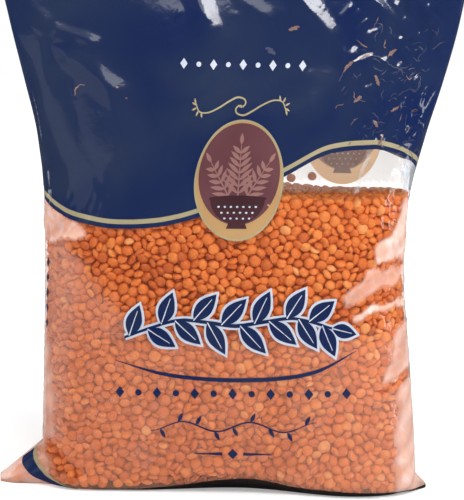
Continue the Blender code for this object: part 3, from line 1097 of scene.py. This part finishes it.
# %% Paint the haze
# Amount of haze, how pale it is, softness of its edge, and its outline on the film (s, height)
HAZE_PATCHES = (
    (0.23, 1.0, 6.0, (
        (-104, 92), (-66, 98), (-59, 90), (-57, 75), (-61, 60), (-64, 20), (-100, 20),
    )),
    (0.21, 0.45, 9.0, (
        (-70, 99), (-58, 91), (-48, 80), (-34, 67), (-34, 58), (-70, 58),
    )),
    (0.66, 1.0, 7.0, (
        (74.0, 64), (100, 62), (104, 30), (98, 0), (70.0, 0), (68.5, 20), (71.0, 36),
    )),
    (0.62, 0.7, 2.2, (
        (104, 63), (92, 70), (75, 64), (72.3, 62), (69.3, 56), (62.3, 41), (66, 40), (72.3, 45), (92, 49),
        (101, 57),
    )),
    (0.62, 0.6, 2.2, (
        (106, 90), (92, 87), (82.4, 85), (64.3, 80), (50.2, 74), (48.2, 77), (52.2, 81), (61.3, 88),
        (92, 89.5), (106, 92),
    )),
    # This palest streak is haze and a painted glint on the fold
    (0.85, 1.0, 1.6, (
        (103, 80), (103, 78.5), (92, 73.5), (65.3, 72), (53.2, 68), (51.5, 70), (61.3, 74), (92, 77),
    )),
    (0.8, 1.0, 2.2, (
        (100, 114), (81.4, 115), (72.3, 103), (66.3, 98), (62.3, 94), (62.3, 91), (92, 91), (108, 97),
    )),
    (0.72, 0.6, 2.2, (
        (-92, 115), (-80, 114), (-69.3, 109), (-58.3, 104), (-56.2, 100), (-66, 98.5), (-77, 97),
        (-92, 96), (-106, 103),
    )),
    (0.5, 1.0, 6.0, (
        (-96, 62), (-77, 62), (-72, 45), (-69.5, 30), (-70.5, 20), (-97, 20), (-102, 45),
    )),
    (0.5, 0.05, 2.0, (
        (-108, 18), (-93, 21), (-80, 22), (-74, 13), (-66, 5), (-60, 1), (-60, -2), (-108, -2),
    )),
    (0.5, 0.2, 2.0, (
        (-100, 12), (-93, 17), (-86, 11), (-73, 4), (-66, 0), (-100, -2),
    )),
    (0.65, 0.5, 2.2, (
        (58.5, 133), (60, 133), (58.3, 126), (54.5, 118), (53.2, 118), (57.0, 126),
    )),
    (0.62, 1.0, 1.6, (
        (76.5, 134), (97, 134), (97, 117), (77.5, 117),
    )),
)
# Less haze along a fold at the right, and in the crease between the left ear and the body, where the lentils
# show darker: painted shade in that crease
CLEAR_NOTCHES = (
    (
        (102, 53), (92, 47), (80.3, 43.5), (67.3, 41), (61.5, 39.5), (63.3, 42.5), (71.3, 46.5), (92, 50),
    ),
    (
        (-74, 19), (-70, 18), (-60, 12), (-52, 6), (-55, 3), (-64, 7), (-72, 13),
    ),
)
# The film's s with the left half of the back counted on past the left edge, so that patches run round it
SIDE_S = np.where(GRID_S > SEAM_S, GRID_S - RING * COLUMN_STEP, GRID_S)


def inside(outline, soft):
    """1 inside an outline on the film, 0 outside, with a soft and slightly wavering edge."""
    s = SIDE_S + 0.8 * np.sin(GRID_Z / 1.9 + 1.6 * np.sin(SIDE_S / 3.3))
    z = GRID_Z + 0.6 * np.sin(SIDE_S / 2.1 + 1.4 * np.sin(GRID_Z / 2.7))
    nearest = np.full(s.shape, np.inf)
    within = np.zeros(s.shape, bool)
    for a, b in zip(outline, outline[1:] + outline[:1]):
        nearest = np.minimum(nearest, along_and_away(s, z, a, b)[1])
        crosses = (a[1] > z) != (b[1] > z)
        rise = b[1] - a[1] or 1e-9
        within ^= crosses & (s < a[0] + (b[0] - a[0]) * (z - a[1]) / rise)
    return smooth(0.5 + np.where(within, nearest, -nearest) / soft)


SEE_THROUGH = 0.22  # more haze than this hides the lentils behind it
TIGHT_HAZE = 0.025
WINDOW_HAZE = 0.20
THICK = 0.4  # haze thicker than this is streaked
low_down = smooth((70 - GRID_Z) / 14)
haze = TIGHT_HAZE + (SEE_THROUGH - TIGHT_HAZE) * low_down
haze = np.where(GRID_Z > LENTIL_LEVEL + 1, WINDOW_HAZE, haze)
paleness = 0.35 * smooth((SIDE_S - 5) / 60) * smooth((150 - SIDE_S) / 40) * low_down
# Taut folds streak the thick haze along their length
wander = 1.4 * np.sin(SIDE_S / 7.0) + 1.2 * np.sin(GRID_Z / 4.3)
streak = np.sin((0.50 * SIDE_S - 0.87 * GRID_Z) / 1.5 + wander)
for amount, pale, soft, outline in HAZE_PATCHES:
    cover = inside(outline, soft)
    streaky = 1 + (0.13 * streak if amount > THICK else 0)
    haze = haze * (1 - cover) + np.maximum(haze, amount * streaky) * cover
    paleness = paleness * (1 - cover) + np.maximum(paleness, pale * streaky**2) * cover
for outline in CLEAR_NOTCHES:
    haze *= 1 - 0.85 * inside(outline, 1.6)


def set_points(mesh, name, kind, field, values):
    """Gives every point of a mesh a value under a name."""
    mesh.attributes.new(name, kind, "POINT").data.foreach_set(field, values)


def paint(piece, name, grid):
    """Gives every point of a piece the grid's value where it lies, by the nearest grid point."""
    tree = search_tree(SKIN.reshape(-1, 3) * MM)
    flat = grid.reshape(-1)
    values = [flat[tree.find(vert.co)[1]] for vert in piece.data.vertices]
    set_points(piece.data, name, "FLOAT", "value", values)


# %% [markdown]
# ## Finishes
# Every finish is a node tree. Two effects are shared, so they are node groups: film_ripple, the fine
# unevenness of thin film that breaks up its reflections, and ink_tone, the slow change of tone over a
# printed field. The groups put out only values and colours, and each material keeps its own shaders.

# %% Node helpers and the shared groups
WHITE = (1.0, 1.0, 1.0)


def feed(tree, socket, value):
    """Gives an input a value, a colour or another node's output. A node stands for its first output."""
    if isinstance(value, bpy.types.Node):
        value = value.outputs[0]
    if isinstance(value, bpy.types.NodeSocket):
        tree.links.new(value, socket)
    elif socket.type == "RGBA":
        socket.default_value = (*value, 1.0)
    else:
        socket.default_value = value


def set_inputs(tree, node, *ordered, **named):
    """Feeds a node's inputs, in their order or by their names with _ for a space."""
    for index, value in enumerate(ordered):
        feed(tree, node.inputs[index], value)
    for key, value in named.items():
        feed(tree, node.inputs[key.replace("_", " ")], value)
    return node


def place_node(tree, kind, *ordered, **settings):
    """A new node. A setting named after an input feeds that input, and any other sets the node itself."""
    node = tree.nodes.new(kind)
    labels = node.inputs.keys()
    named = {key: value for key, value in settings.items() if key.replace("_", " ") in labels}
    for key, value in settings.items():
        if key not in named:
            setattr(node, key, value)
    return set_inputs(tree, node, *ordered, **named)


def map_range(tree, value, given=(0.0, 1.0), wanted=(0.0, 1.0), **settings):
    """A value carried over from one range to another."""
    return place_node(tree, "ShaderNodeMapRange", value, *given, *wanted, **settings)


def maths(tree, operation, *values, **settings):
    """A sum on numbers."""
    return place_node(tree, "ShaderNodeMath", *values, operation=operation, **settings)


def mixed_colour(tree, factor, low, high):
    """A colour between two."""
    node = place_node(tree, "ShaderNodeMix", data_type="RGBA")
    for index, value in ((0, factor), (6, low), (7, high)):
        feed(tree, node.inputs[index], value)
    return node.outputs[2]


def by_ray(tree, ray, others, these):
    """One shader for these rays and another for all others."""
    path = place_node(tree, "ShaderNodeLightPath")
    return place_node(tree, "ShaderNodeMixShader", path.outputs[ray], others, these)


def place_on_object(tree, scale=None):
    """The coordinates on the object, scaled where a scale is given."""
    where = place_node(tree, "ShaderNodeTexCoord").outputs["Object"]
    if scale is None:
        return where
    return place_node(tree, "ShaderNodeVectorMath", where, operation="SCALE", Scale=scale)


def start_group(name, inputs, outputs):
    """A node group with plain number inputs and outputs."""
    tree = bpy.data.node_groups.new(name, "ShaderNodeTree")
    for label, value in inputs:
        socket = tree.interface.new_socket(label, in_out="INPUT", socket_type="NodeSocketFloat")
        socket.default_value = value
    for label in outputs:
        tree.interface.new_socket(label, in_out="OUTPUT", socket_type="NodeSocketFloat")
    return tree, tree.nodes.new("NodeGroupInput"), tree.nodes.new("NodeGroupOutput")


def film_ripple_group():
    """Height of the fine ripples of thin film, in metres: soft waves and a net of faint creases."""
    tree, given, out = start_group("film_ripple", [("Scale", 1.0), ("Depth", 0.0002)], ["Height"])
    scaled = place_on_object(tree, given.outputs["Scale"])
    soft = place_node(tree, "ShaderNodeTexNoise", scaled, Scale=90.0, Detail=4.0, Roughness=0.58)
    warp = place_node(tree, "ShaderNodeTexNoise", scaled, Scale=60.0, Detail=1.0).outputs["Color"]
    warp_size = (0.012, 0.012, 0.012)
    bend = place_node(tree, "ShaderNodeVectorMath", warp, warp_size, scaled, operation="MULTIPLY_ADD")
    creases = place_node(tree, "ShaderNodeTexVoronoi", bend, feature="DISTANCE_TO_EDGE", Scale=110.0)
    ridge = map_range(tree, creases.outputs["Distance"], (0.0, 0.12), (1.0, 0.0))
    total = maths(tree, "MULTIPLY_ADD", ridge, 0.05, soft)
    set_inputs(tree, out, maths(tree, "MULTIPLY", total, given.outputs["Depth"]))
    return tree


def ink_tone_group():
    """A slow change between 0 and 1 over a printed field, and a finer speckle."""
    tree, given, out = start_group("ink_tone", [("Scale", 1.0)], ["Tone", "Speckle"])
    scaled = place_on_object(tree, given.outputs["Scale"])
    broad = place_node(tree, "ShaderNodeTexNoise", scaled, Scale=22.0, Detail=2.0, Distortion=0.6)
    fine = place_node(tree, "ShaderNodeTexNoise", scaled, Scale=420.0, Detail=3.0)
    set_inputs(tree, out, Tone=map_range(tree, broad, (0.35, 0.65)), Speckle=fine)
    return tree


FILM_RIPPLE = film_ripple_group()
INK_TONE = ink_tone_group()


def group_node(tree, group, **values):
    """A node that runs a shared group with its own values."""
    return set_inputs(tree, place_node(tree, "ShaderNodeGroup", node_tree=group), **values)


def rippled_bump(tree, scale, depth):
    """A Bump node fed by the film_ripple group."""
    ripple = group_node(tree, FILM_RIPPLE, Scale=scale, Depth=depth)
    return place_node(tree, "ShaderNodeBump", Strength=1.0, Distance=1.0, Height=ripple)


def new_finish(name):
    """An empty material with its output and one Principled shader."""
    finish = bpy.data.materials.new(name)
    finish.use_nodes = True
    tree = finish.node_tree
    return finish, tree, tree.nodes["Principled BSDF"], tree.nodes["Material Output"]


# %% Ink under glossy film
BEHIND_INK = (0.24, 0.24, 0.30)  # the light that gets through the ink
INK_RIPPLE = 0.0002

# Two tones of each ink, and the glow of those that the light shines through: the inside copies of the back
# badge, whose glow and lighter tones are painted light from behind the film
INK_TONES = {
    "blue_ink": ((0.006, 0.016, 0.074), (0.018, 0.030, 0.074)),
    "gold_ink": ((0.32, 0.28, 0.16), (0.42, 0.36, 0.22)),
    "tan_ink": ((0.42, 0.24, 0.10), (0.50, 0.31, 0.14)),
    "inner_tan_backlit_ink": ((0.71, 0.46, 0.24), (0.81, 0.57, 0.31), 0.50),
    "inner_plum_backlit_ink": ((0.34, 0.17, 0.15), (0.40, 0.22, 0.19), 0.30),
    "inner_dark_backlit_ink": ((0.19, 0.050, 0.055), (0.27, 0.080, 0.082), 0.14),
    "plum_ink": ((0.110, 0.042, 0.050), (0.150, 0.062, 0.070)),
    "dark_plum_ink": ((0.045, 0.018, 0.022), (0.070, 0.028, 0.034)),
    "rose_ink": ((0.27, 0.135, 0.125), (0.34, 0.18, 0.15)),
    "pale_ink": ((0.52, 0.56, 0.66), (0.62, 0.65, 0.74)),
    # Worn ink that also carries painted reflections and glints
    "rubbed_and_reflection_ink": ((0.13, 0.083, 0.082), (0.29, 0.19, 0.16)),
    "dulled_and_glint_ink": ((0.040, 0.040, 0.075), (0.090, 0.10, 0.17)),
    # Near-black of the base: dark print and painted shadow under the bag
    "base_print_and_shadow_ink": ((0.009, 0.006, 0.006), (0.016, 0.011, 0.011)),
}


def ink(name, dark, light, glow=0.0):
    """Opaque ink between two tones, under glossy film. Some of the light behind it gets through, and its glow
    is painted light from behind.
    """
    finish, tree, shader, out = new_finish(name)
    tone = group_node(tree, INK_TONE, Scale=1.0)
    colour = mixed_colour(tree, tone.outputs["Tone"], dark, light)
    rough = map_range(tree, tone.outputs["Speckle"], wanted=(0.07, 0.12))
    bump = rippled_bump(tree, 1.0, INK_RIPPLE)
    set_inputs(tree, shader, Base_Color=colour, Roughness=rough, Normal=bump)
    set_inputs(tree, shader, Emission_Color=light, Emission_Strength=glow)
    passed = place_node(tree, "ShaderNodeBsdfTransparent", BEHIND_INK)
    set_inputs(tree, out, by_ray(tree, "Is Shadow Ray", shader, passed))
    return finish


INKS = {name: ink(name, *tones) for name, tones in INK_TONES.items()}
print("inks:", list(INKS))

# %% Clear film
EMPTY_HAZE = (0.50, 0.45, 0.37)
FOLDED_HAZE = (0.40, 0.48, 0.57)
# Over the lentils the haze takes their orange: painted light, scattered from the lentils behind the film
THIN_HAZE_LENTIL_LIT = (0.95, 0.44, 0.27)
THICK_HAZE_LENTIL_LIT = (0.93, 0.60, 0.48)
# The whitish streaks of the thick haze: a painted sheen
SHEEN_HAZE = (0.96, 0.84, 0.82)


def clear_film():
    """See-through film: a gloss that grows with the viewing angle, and haze where it is painted, with painted
    light in its tones.
    """
    finish, tree, haze_shader, out = new_finish("clear_film")
    backed, painted, pale = (
        place_node(tree, "ShaderNodeAttribute", attribute_name=name).outputs["Fac"]
        for name in ("backed", "haze", "paleness")
    )
    over_lentils = mixed_colour(tree, pale, THIN_HAZE_LENTIL_LIT, THICK_HAZE_LENTIL_LIT)
    over_nothing = mixed_colour(tree, pale, EMPTY_HAZE, FOLDED_HAZE)
    skin = mixed_colour(tree, backed, over_nothing, over_lentils)
    where = place_on_object(tree)
    # Whitish streaks in the thick haze: a painted sheen on the folds
    sheen_noise = place_node(
        tree, "ShaderNodeTexNoise", where, Scale=150.0, Detail=5.0, Roughness=0.62, Distortion=1.4
    )
    sheen_share = maths(tree, "MULTIPLY", map_range(tree, sheen_noise, (0.46, 0.66)), painted, use_clamp=True)
    sheened = mixed_colour(tree, sheen_share, skin, SHEEN_HAZE)
    set_inputs(tree, haze_shader, Base_Color=sheened, Roughness=0.5)

    see_through = place_node(tree, "ShaderNodeBsdfTransparent", (0.985, 0.98, 0.98))
    gloss = place_node(tree, "ShaderNodeBsdfPrincipled", Base_Color=WHITE, Metallic=1.0, Roughness=0.13)
    set_inputs(tree, gloss, Normal=rippled_bump(tree, 1.3, 0.00016))
    facing = place_node(tree, "ShaderNodeLayerWeight", Blend=0.5).outputs["Facing"]
    share = maths(tree, "MULTIPLY_ADD", maths(tree, "POWER", facing, 4.0), 0.55, 0.045, use_clamp=True)
    glossy_film = place_node(tree, "ShaderNodeMixShader", share, see_through, gloss)

    tone = group_node(tree, INK_TONE, Scale=2.2)
    patchy = map_range(tree, tone.outputs["Tone"], wanted=(0.85, 1.06))
    amount = maths(tree, "MULTIPLY", painted, patchy, use_clamp=True)
    hazy_film = place_node(tree, "ShaderNodeMixShader", amount, glossy_film, haze_shader)
    set_inputs(tree, out, hazy_film)
    return finish


CLEAR_FILM = clear_film()


# %% Lentils
def lentil_finish(name, tones, rough=0.5):
    """Dry lentil: its own tone, faint mottling, and a painted glow for the light that passes through it."""
    finish, tree, shader, _ = new_finish(name)
    tint = place_node(tree, "ShaderNodeAttribute", attribute_name="tint")
    ramp = place_node(tree, "ShaderNodeValToRGB", tint.outputs["Fac"])
    elements = ramp.color_ramp.elements
    elements.remove(elements[1])
    elements[0].position = tones[0][0]
    elements[0].color = (*tones[0][1], 1.0)
    for position, colour in tones[1:]:
        elements.new(position).color = (*colour, 1.0)
    mottle = place_node(tree, "ShaderNodeTexNoise", place_on_object(tree), Scale=700.0, Detail=3.0)
    shade = map_range(tree, mottle, wanted=(0.80, 1.14))
    toned = place_node(tree, "ShaderNodeVectorMath", ramp, operation="SCALE", Scale=shade)
    grain = place_node(tree, "ShaderNodeBump", Strength=0.25, Distance=0.0002, Height=mottle)
    set_inputs(tree, shader, Base_Color=toned, Normal=grain, Roughness=rough)
    # Painted glow for light that passes through the lentils and lights the gaps between them
    set_inputs(tree, shader, Emission_Color=(0.80, 0.17, 0.02), Emission_Strength=0.055)
    return finish


LENTIL_TONES = (
    (0.0, (0.51, 0.092, 0.009)),
    (0.25, (0.63, 0.134, 0.016)),
    (0.6, (0.73, 0.186, 0.027)),
    (0.85, (0.78, 0.250, 0.048)),
    (1.0, (0.83, 0.350, 0.110)),
)
# Dark orange painted shade for the lentils deep in the heap
CORE_SHADE_TONE = (0.45, 0.10, 0.018)
lentil_orange = lentil_finish("lentil_orange", LENTIL_TONES)
core_brown = lentil_finish("core_brown", ((0.0, CORE_SHADE_TONE),), 0.8)

# %% [markdown]
# ## Place the lentils
# Each packed place becomes a point that carries its turn, its size and its tint, and a Geometry Nodes tree
# puts a lentil on every point. Joining copies in Python would work too, but the tree makes over 400,000
# triangles in a second or two. It ends in Realize Instances, so the result is one plain mesh, and the tint
# stays on it for the shader.


# %% The lentil meshes and the scatter tree
def lentil_mesh(name, profile, sides):
    """A lentil one unit across, turned from (radius, height) pairs between its two middles."""
    form = bmesh.new()
    rings = []
    turns = [2 * math.pi * (i + 0.5) / sides for i in range(sides)]
    for radius, height in profile[1:-1]:
        ring = [(radius * math.cos(a) / 2, radius * math.sin(a) / 2, height / 2) for a in turns]
        rings.append([form.verts.new(place) for place in ring])
    bottom = form.verts.new((0, 0, profile[0][1] / 2))
    top = form.verts.new((0, 0, profile[-1][1] / 2))
    for i in range(sides):
        j = (i + 1) % sides
        form.faces.new((bottom, rings[0][j], rings[0][i]))
        form.faces.new((top, rings[-1][i], rings[-1][j]))
        for low, high in zip(rings, rings[1:]):
            form.faces.new((low[i], low[j], high[j], high[i]))
    data = bpy.data.meshes.new(name)
    form.to_mesh(data)
    form.free()
    data.shade_smooth()
    return bpy.data.objects.new(name, data)


LENTIL_KINDS = {
    "lentils_domed": (((0, -0.33), (0.76, -0.31), (1.0, -0.02), (0.74, 0.36), (0, 0.52)), 12),
    "lentils_round": (((0, -0.48), (0.66, -0.36), (1.0, 0.0), (0.66, 0.36), (0, 0.48)), 12),
    "lentils_inner": (((0, -0.36), (0.95, -0.16), (0.86, 0.26), (0, 0.44)), 9),
}


def scatter_tree():
    """Puts the lentil on every point, with the point's own turn and size."""
    tree = bpy.data.node_groups.new("scatter_lentils", "GeometryNodeTree")
    inputs = (("Geometry", "Geometry"), ("Lentil", "Object"), ("Diameter", "Float"), ("Finish", "Material"))
    for label, kind in inputs:
        tree.interface.new_socket(label, in_out="INPUT", socket_type="NodeSocket" + kind)
    tree.interface.new_socket("Geometry", in_out="OUTPUT", socket_type="NodeSocketGeometry")
    given, out = tree.nodes.new("NodeGroupInput"), tree.nodes.new("NodeGroupOutput")
    turn, size = (
        place_node(tree, "GeometryNodeInputNamedAttribute", name, data_type=kind).outputs["Attribute"]
        for name, kind in (("turn", "FLOAT_VECTOR"), ("size", "FLOAT"))
    )
    model = place_node(tree, "GeometryNodeObjectInfo", Object=given.outputs["Lentil"], As_Instance=True)
    copies = place_node(
        tree,
        "GeometryNodeInstanceOnPoints",
        Points=given.outputs["Geometry"],
        Instance=model.outputs["Geometry"],
        Rotation=place_node(tree, "FunctionNodeEulerToRotation", turn),
        Scale=maths(tree, "MULTIPLY", size, given.outputs["Diameter"]),
    )
    real = place_node(tree, "GeometryNodeRealizeInstances", copies)
    coat = place_node(tree, "GeometryNodeSetMaterial", Geometry=real, Material=given.outputs["Finish"])
    set_inputs(tree, out, coat)
    return tree


SCATTER = scatter_tree()
TINT_SEED = 31
MEAN_TINT = 0.46
TINT_SPREAD = 0.22
tint_draw = random.Random(TINT_SEED)


def turn_of(axis):
    """The Euler turn that stands a disc's normal along an axis, with a random spin about it."""
    spin = Matrix.Rotation(tint_draw.uniform(0, 2 * math.pi), 4, "Z")
    return (Vector(axis).to_track_quat("Z", "Y").to_matrix().to_4x4() @ spin).to_euler()


def scatter(name, chosen):
    """One mesh piece with all the lentils of a kind."""
    model = lentil_mesh(name + "_model", *LENTIL_KINDS[name])
    points = bpy.data.meshes.new(name)
    points.from_pydata((lentil_world[chosen] * MM).tolist(), [], [])
    turns = [value for axis in lentil_axes[chosen] for value in turn_of(axis)]
    # A slow shift of tint across the bag, darker to the left and lighter to the right: painted shade for
    # light that comes more from the right
    slow = 0.06 * np.sin(lentil_world[chosen, 0] / 17.0) + 0.0016 * lentil_world[chosen, 0]
    tints = [min(max(tint_draw.gauss(MEAN_TINT + painted_side_shade, TINT_SPREAD), 0.0), 1.0) for painted_side_shade in slow]
    set_points(points, "turn", "FLOAT_VECTOR", "vector", turns)
    set_points(points, "size", "FLOAT", "value", 2 * lentil_radius[chosen] / LENTIL_DIAMETER)
    set_points(points, "tint", "FLOAT", "value", tints)
    carrier = add_object(name + "_points", points)
    modifier = carrier.modifiers.new("scatter", "NODES")
    modifier.node_group = SCATTER
    values = {"Lentil": model, "Diameter": LENTIL_DIAMETER * MM, "Finish": lentil_orange}
    for socket in SCATTER.interface.items_tree:
        if socket.item_type == "SOCKET" and socket.in_out == "INPUT" and socket.name in values:
            modifier[socket.identifier] = values[socket.name]
    bpy.context.view_layer.update()
    shown = carrier.evaluated_get(bpy.context.evaluated_depsgraph_get())
    data = bpy.data.meshes.new_from_object(shown)
    data.name = name
    bpy.data.objects.remove(carrier)
    bpy.data.objects.remove(model)
    print(name, "holds", len(chosen), "lentils, triangles:", sum(len(f.vertices) - 2 for f in data.polygons))
    return add_object(name, data)


# %% Scatter them by kind
OUTER_DEPTH = 3.3
outer = np.flatnonzero(lentil_deep < OUTER_DEPTH)
inner = np.flatnonzero(lentil_deep >= OUTER_DEPTH)
is_domed = np.arange(len(outer)) % 5 < 2
chosen_by_kind = {"lentils_domed": outer[is_domed], "lentils_round": outer[~is_domed], "lentils_inner": inner}
lentil_pieces = [scatter(name, chosen) for name, chosen in chosen_by_kind.items()]

# %% [markdown]
# ## The core
# Behind the imported slab nothing shows but the dark between lentils. A closed form in dark orange fills the
# middle, a little smaller than the bag, so no light passes through the heap. Its dark orange is painted
# shade, for the lentils deep in the heap.

# %% Build the core
CORE_INSET = 6.0
CORE_SIDES = 72
CORE_RINGS = 24


def core_part():
    """A closed loft of rounded-box sections inside the slab."""
    angles = np.linspace(0, 2 * math.pi, CORE_SIDES, endpoint=False)
    cos, sin = np.cos(angles), np.sin(angles)
    rings = []
    for height in np.linspace(CORE_INSET, LENTIL_LEVEL - LENTIL_DIAMETER, CORE_RINGS):
        left, right, front_depth, _, across, deep = section_at(height)
        reach = np.where(cos < 0, left, right) - CORE_INSET
        x = reach * np.sign(cos) * np.abs(cos) ** (2 / across)
        y = (front_depth - CORE_INSET) * np.sign(sin) * np.abs(sin) ** (2 / deep)
        rings.append(np.column_stack([x, y, np.full(CORE_SIDES, height)]))
    last = (CORE_RINGS - 1) * CORE_SIDES
    faces = grid_faces(CORE_RINGS, CORE_SIDES, closed=True)
    faces += [tuple(range(CORE_SIDES))[::-1], tuple(range(last, last + CORE_SIDES))]
    return np.concatenate(rings) * MM, faces


core = as_object("lentil_core", [core_part()])

# %% [markdown]
# ## Put the pieces together
# Each list of parts becomes one object with one finish. The clear film is the piece that stands for the
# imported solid, and every piece rides on the part's one body.


# %% Make and dress the pieces
def dress(piece, finish):
    """Gives a piece its finish and its body."""
    piece.data.materials.clear()
    piece.data.materials.append(finish)
    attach(piece, "root")
    return piece


film = dress(as_object("film_clear", clear_parts), CLEAR_FILM)
paint(film, "haze", haze)
paint(film, "paleness", paleness)
paint(film, "backed", smooth((LENTIL_LEVEL + 1.5 - GRID_Z) / 4))
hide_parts("lentil_bag")

# Name of the piece, its parts, its ink and its slot in the record
PRINTED = (
    ("print_blue", blue_parts, "blue_ink", "blue_print"),
    # Dark print and painted shadow at the base
    ("print_base", base_print_and_shadow_parts, "base_print_and_shadow_ink", "plum_print"),
    ("print_gold", gold_parts, "gold_ink", "gold_print"),
    ("badge_ground", tan_parts, "tan_ink", "tan_print"),
    ("badge_field", plum_parts, "plum_ink", "plum_print"),
    ("badge_bowl", dark_parts, "dark_plum_ink", "plum_print"),
    # Lighter, glowing inks: painted light from behind the back film
    ("inner_badge_ground", inner_backlit_tan_parts, "inner_tan_backlit_ink", "tan_print"),
    ("inner_badge_field", inner_backlit_plum_parts, "inner_plum_backlit_ink", "plum_print"),
    ("inner_badge_bowl", inner_backlit_dark_parts, "inner_dark_backlit_ink", "plum_print"),
    ("badge_leaves", rose_parts, "rose_ink", "tan_print"),
    # Worn ink with painted reflections and glints on it
    ("rubbed_spots", rubbed_and_reflection_parts, "rubbed_and_reflection_ink", "tan_print"),
    ("dulled_spots", dulled_and_glint_parts, "dulled_and_glint_ink", "pale_print"),
    ("print_pale", pale_parts + branch_pale, "pale_ink", "pale_print"),
    ("print_marks", branch_blue, "blue_ink", "blue_print"),
)
for name, parts, ink_name, slot in PRINTED:
    dress(as_object(name, parts), INKS[ink_name])
dress(core, core_brown)
for piece in lentil_pieces:
    dress(piece, lentil_orange)

# %% [markdown]
# ## Floor, light and camera
# The photo is a cut-out on white with soft light from above the camera. A wide white floor under a white
# sky gives the same ground. The sky is darker to everything but the camera, because glossy blue film would
# otherwise mirror it and turn pale. The camera is a long lens, slightly above and slightly to the right of
# the front.

# %% Floor and sky
FLOOR_RADIUS = 12.0


def floor():
    """A wide white disc with a slight glow of its own, dark to anything that mirrors it."""
    form = bmesh.new()
    bmesh.ops.create_circle(form, cap_ends=True, segments=96, radius=FLOOR_RADIUS)
    data = bpy.data.meshes.new("floor")
    form.to_mesh(data)
    form.free()
    finish, tree, shader, out = new_finish("floor_white")
    distance = place_node(tree, "ShaderNodeVectorMath", place_on_object(tree), operation="LENGTH")
    glow = map_range(tree, distance.outputs["Value"], (0.10, 1.60), (0.34, 0.85))
    set_inputs(tree, shader, Base_Color=(0.86, 0.86, 0.86), Roughness=0.9)
    set_inputs(tree, shader, Emission_Color=WHITE, Emission_Strength=glow)
    mirrored = place_node(tree, "ShaderNodeBsdfDiffuse", (0.12, 0.12, 0.12))
    set_inputs(tree, out, by_ray(tree, "Is Glossy Ray", shader, mirrored))
    data.materials.append(finish)
    piece = add_object("floor", data)


def sky():
    """White to the camera, dim as a light, and bright overhead only for what mirrors it."""
    world = bpy.data.worlds.new("studio")
    bpy.context.scene.world = world
    world.use_nodes = True
    tree = world.node_tree
    seen = set_inputs(tree, tree.nodes["Background"], Color=WHITE, Strength=1.0)
    lit = place_node(tree, "ShaderNodeBackground", Color=WHITE, Strength=0.30)
    direction = place_node(tree, "ShaderNodeTexCoord").outputs["Generated"]
    upward = place_node(tree, "ShaderNodeSeparateXYZ", direction).outputs["Z"]
    overhead = map_range(tree, upward, (0.66, 0.97), (0.06, 0.95), interpolation_type="SMOOTHSTEP")
    mirrored = place_node(tree, "ShaderNodeBackground", Color=WHITE, Strength=overhead)
    unseen = by_ray(tree, "Is Glossy Ray", lit, mirrored)
    set_inputs(tree, tree.nodes["World Output"], by_ray(tree, "Is Camera Ray", unseen, seen))


BAG_MIDDLE = (0.0, 0.0, 0.10)


def softbox(name, place, size, power, glint, aim=BAG_MIDDLE):
    """A soft area light turned towards an aim. A glint shows only as a highlight, the others only light."""
    light = bpy.data.lights.new(name, "AREA")
    light.shape = "RECTANGLE"
    light.size, light.size_y = size
    light.energy = power
    lamp = add_object(name, light)
    lamp.location = place
    lamp.rotation_euler = (Vector(aim) - Vector(place)).to_track_quat("-Z", "Y").to_euler()
    lamp.visible_glossy = glint
    lamp.visible_diffuse = not glint


floor()
sky()
RIGHT_OF_MIDDLE = (0.05, 0.0, 0.10)
# Name, place, size and power, whether it is a glint, and its aim where that isn't the bag's middle
LIGHTS = (
    ("light_above", (0.35, -0.80, 1.20), (0.5, 0.4), 10.0, False),
    ("light_left", (-1.3, -0.1, 0.6), (0.3, 0.8), 6.5, False),
    ("light_right", (0.50, -0.36, 0.42), (0.12, 0.25), 1.55, False, RIGHT_OF_MIDDLE),
    ("light_back", (0.3, 1.2, 0.9), (0.8, 0.5), 10.0, False),
    ("glint_above", (0.34, -0.69, 1.28), (0.45, 0.28), 5.5, True),
    ("glint_broad", (0.26, -0.58, 1.43), (1.1, 0.44), 4.2, True),
    ("glint_low_left", (-1.05, -0.75, 0.45), (0.5, 0.5), 0.3, True),
    ("glint_left", (-1.2, 0.45, 0.55), (0.12, 1.0), 1.0, True),
    ("glint_right", (1.2, 0.45, 0.55), (0.12, 1.0), 2.0, True),
    ("glint_low_right", (1.2, -0.17, 0.16), (0.16, 0.26), 0.8, True),
)
for light in LIGHTS:
    softbox(*light)

# %% Camera
CAMERA_AZIMUTH = math.radians(3.5)
CAMERA_ELEVATION = math.radians(6.5)
CAMERA_DISTANCE = 0.700
CAMERA_AIM = Vector((0.0, 0.0, 0.0925))
FOCAL_PIXELS = 1750.0
FRAME_HEIGHT_PIXELS = 500.0
SENSOR = 36.0
lens = bpy.data.cameras.new("camera")
lens.sensor_fit = "VERTICAL"
lens.sensor_height = SENSOR
lens.lens = SENSOR * FOCAL_PIXELS / FRAME_HEIGHT_PIXELS
lens.clip_start = 0.05
camera = add_object("camera", lens)
level_reach = math.cos(CAMERA_ELEVATION)
aside = math.sin(CAMERA_AZIMUTH) * level_reach
towards_front = math.cos(CAMERA_AZIMUTH) * level_reach
backward = Vector((aside, -towards_front, math.sin(CAMERA_ELEVATION)))
camera.location = CAMERA_AIM + CAMERA_DISTANCE * backward
camera.rotation_euler = backward.to_track_quat("Z", "Y").to_euler()
bpy.context.scene.camera = camera
bpy.context.scene.view_settings.view_transform = "Standard"
print("lens, mm:", round(lens.lens, 1))
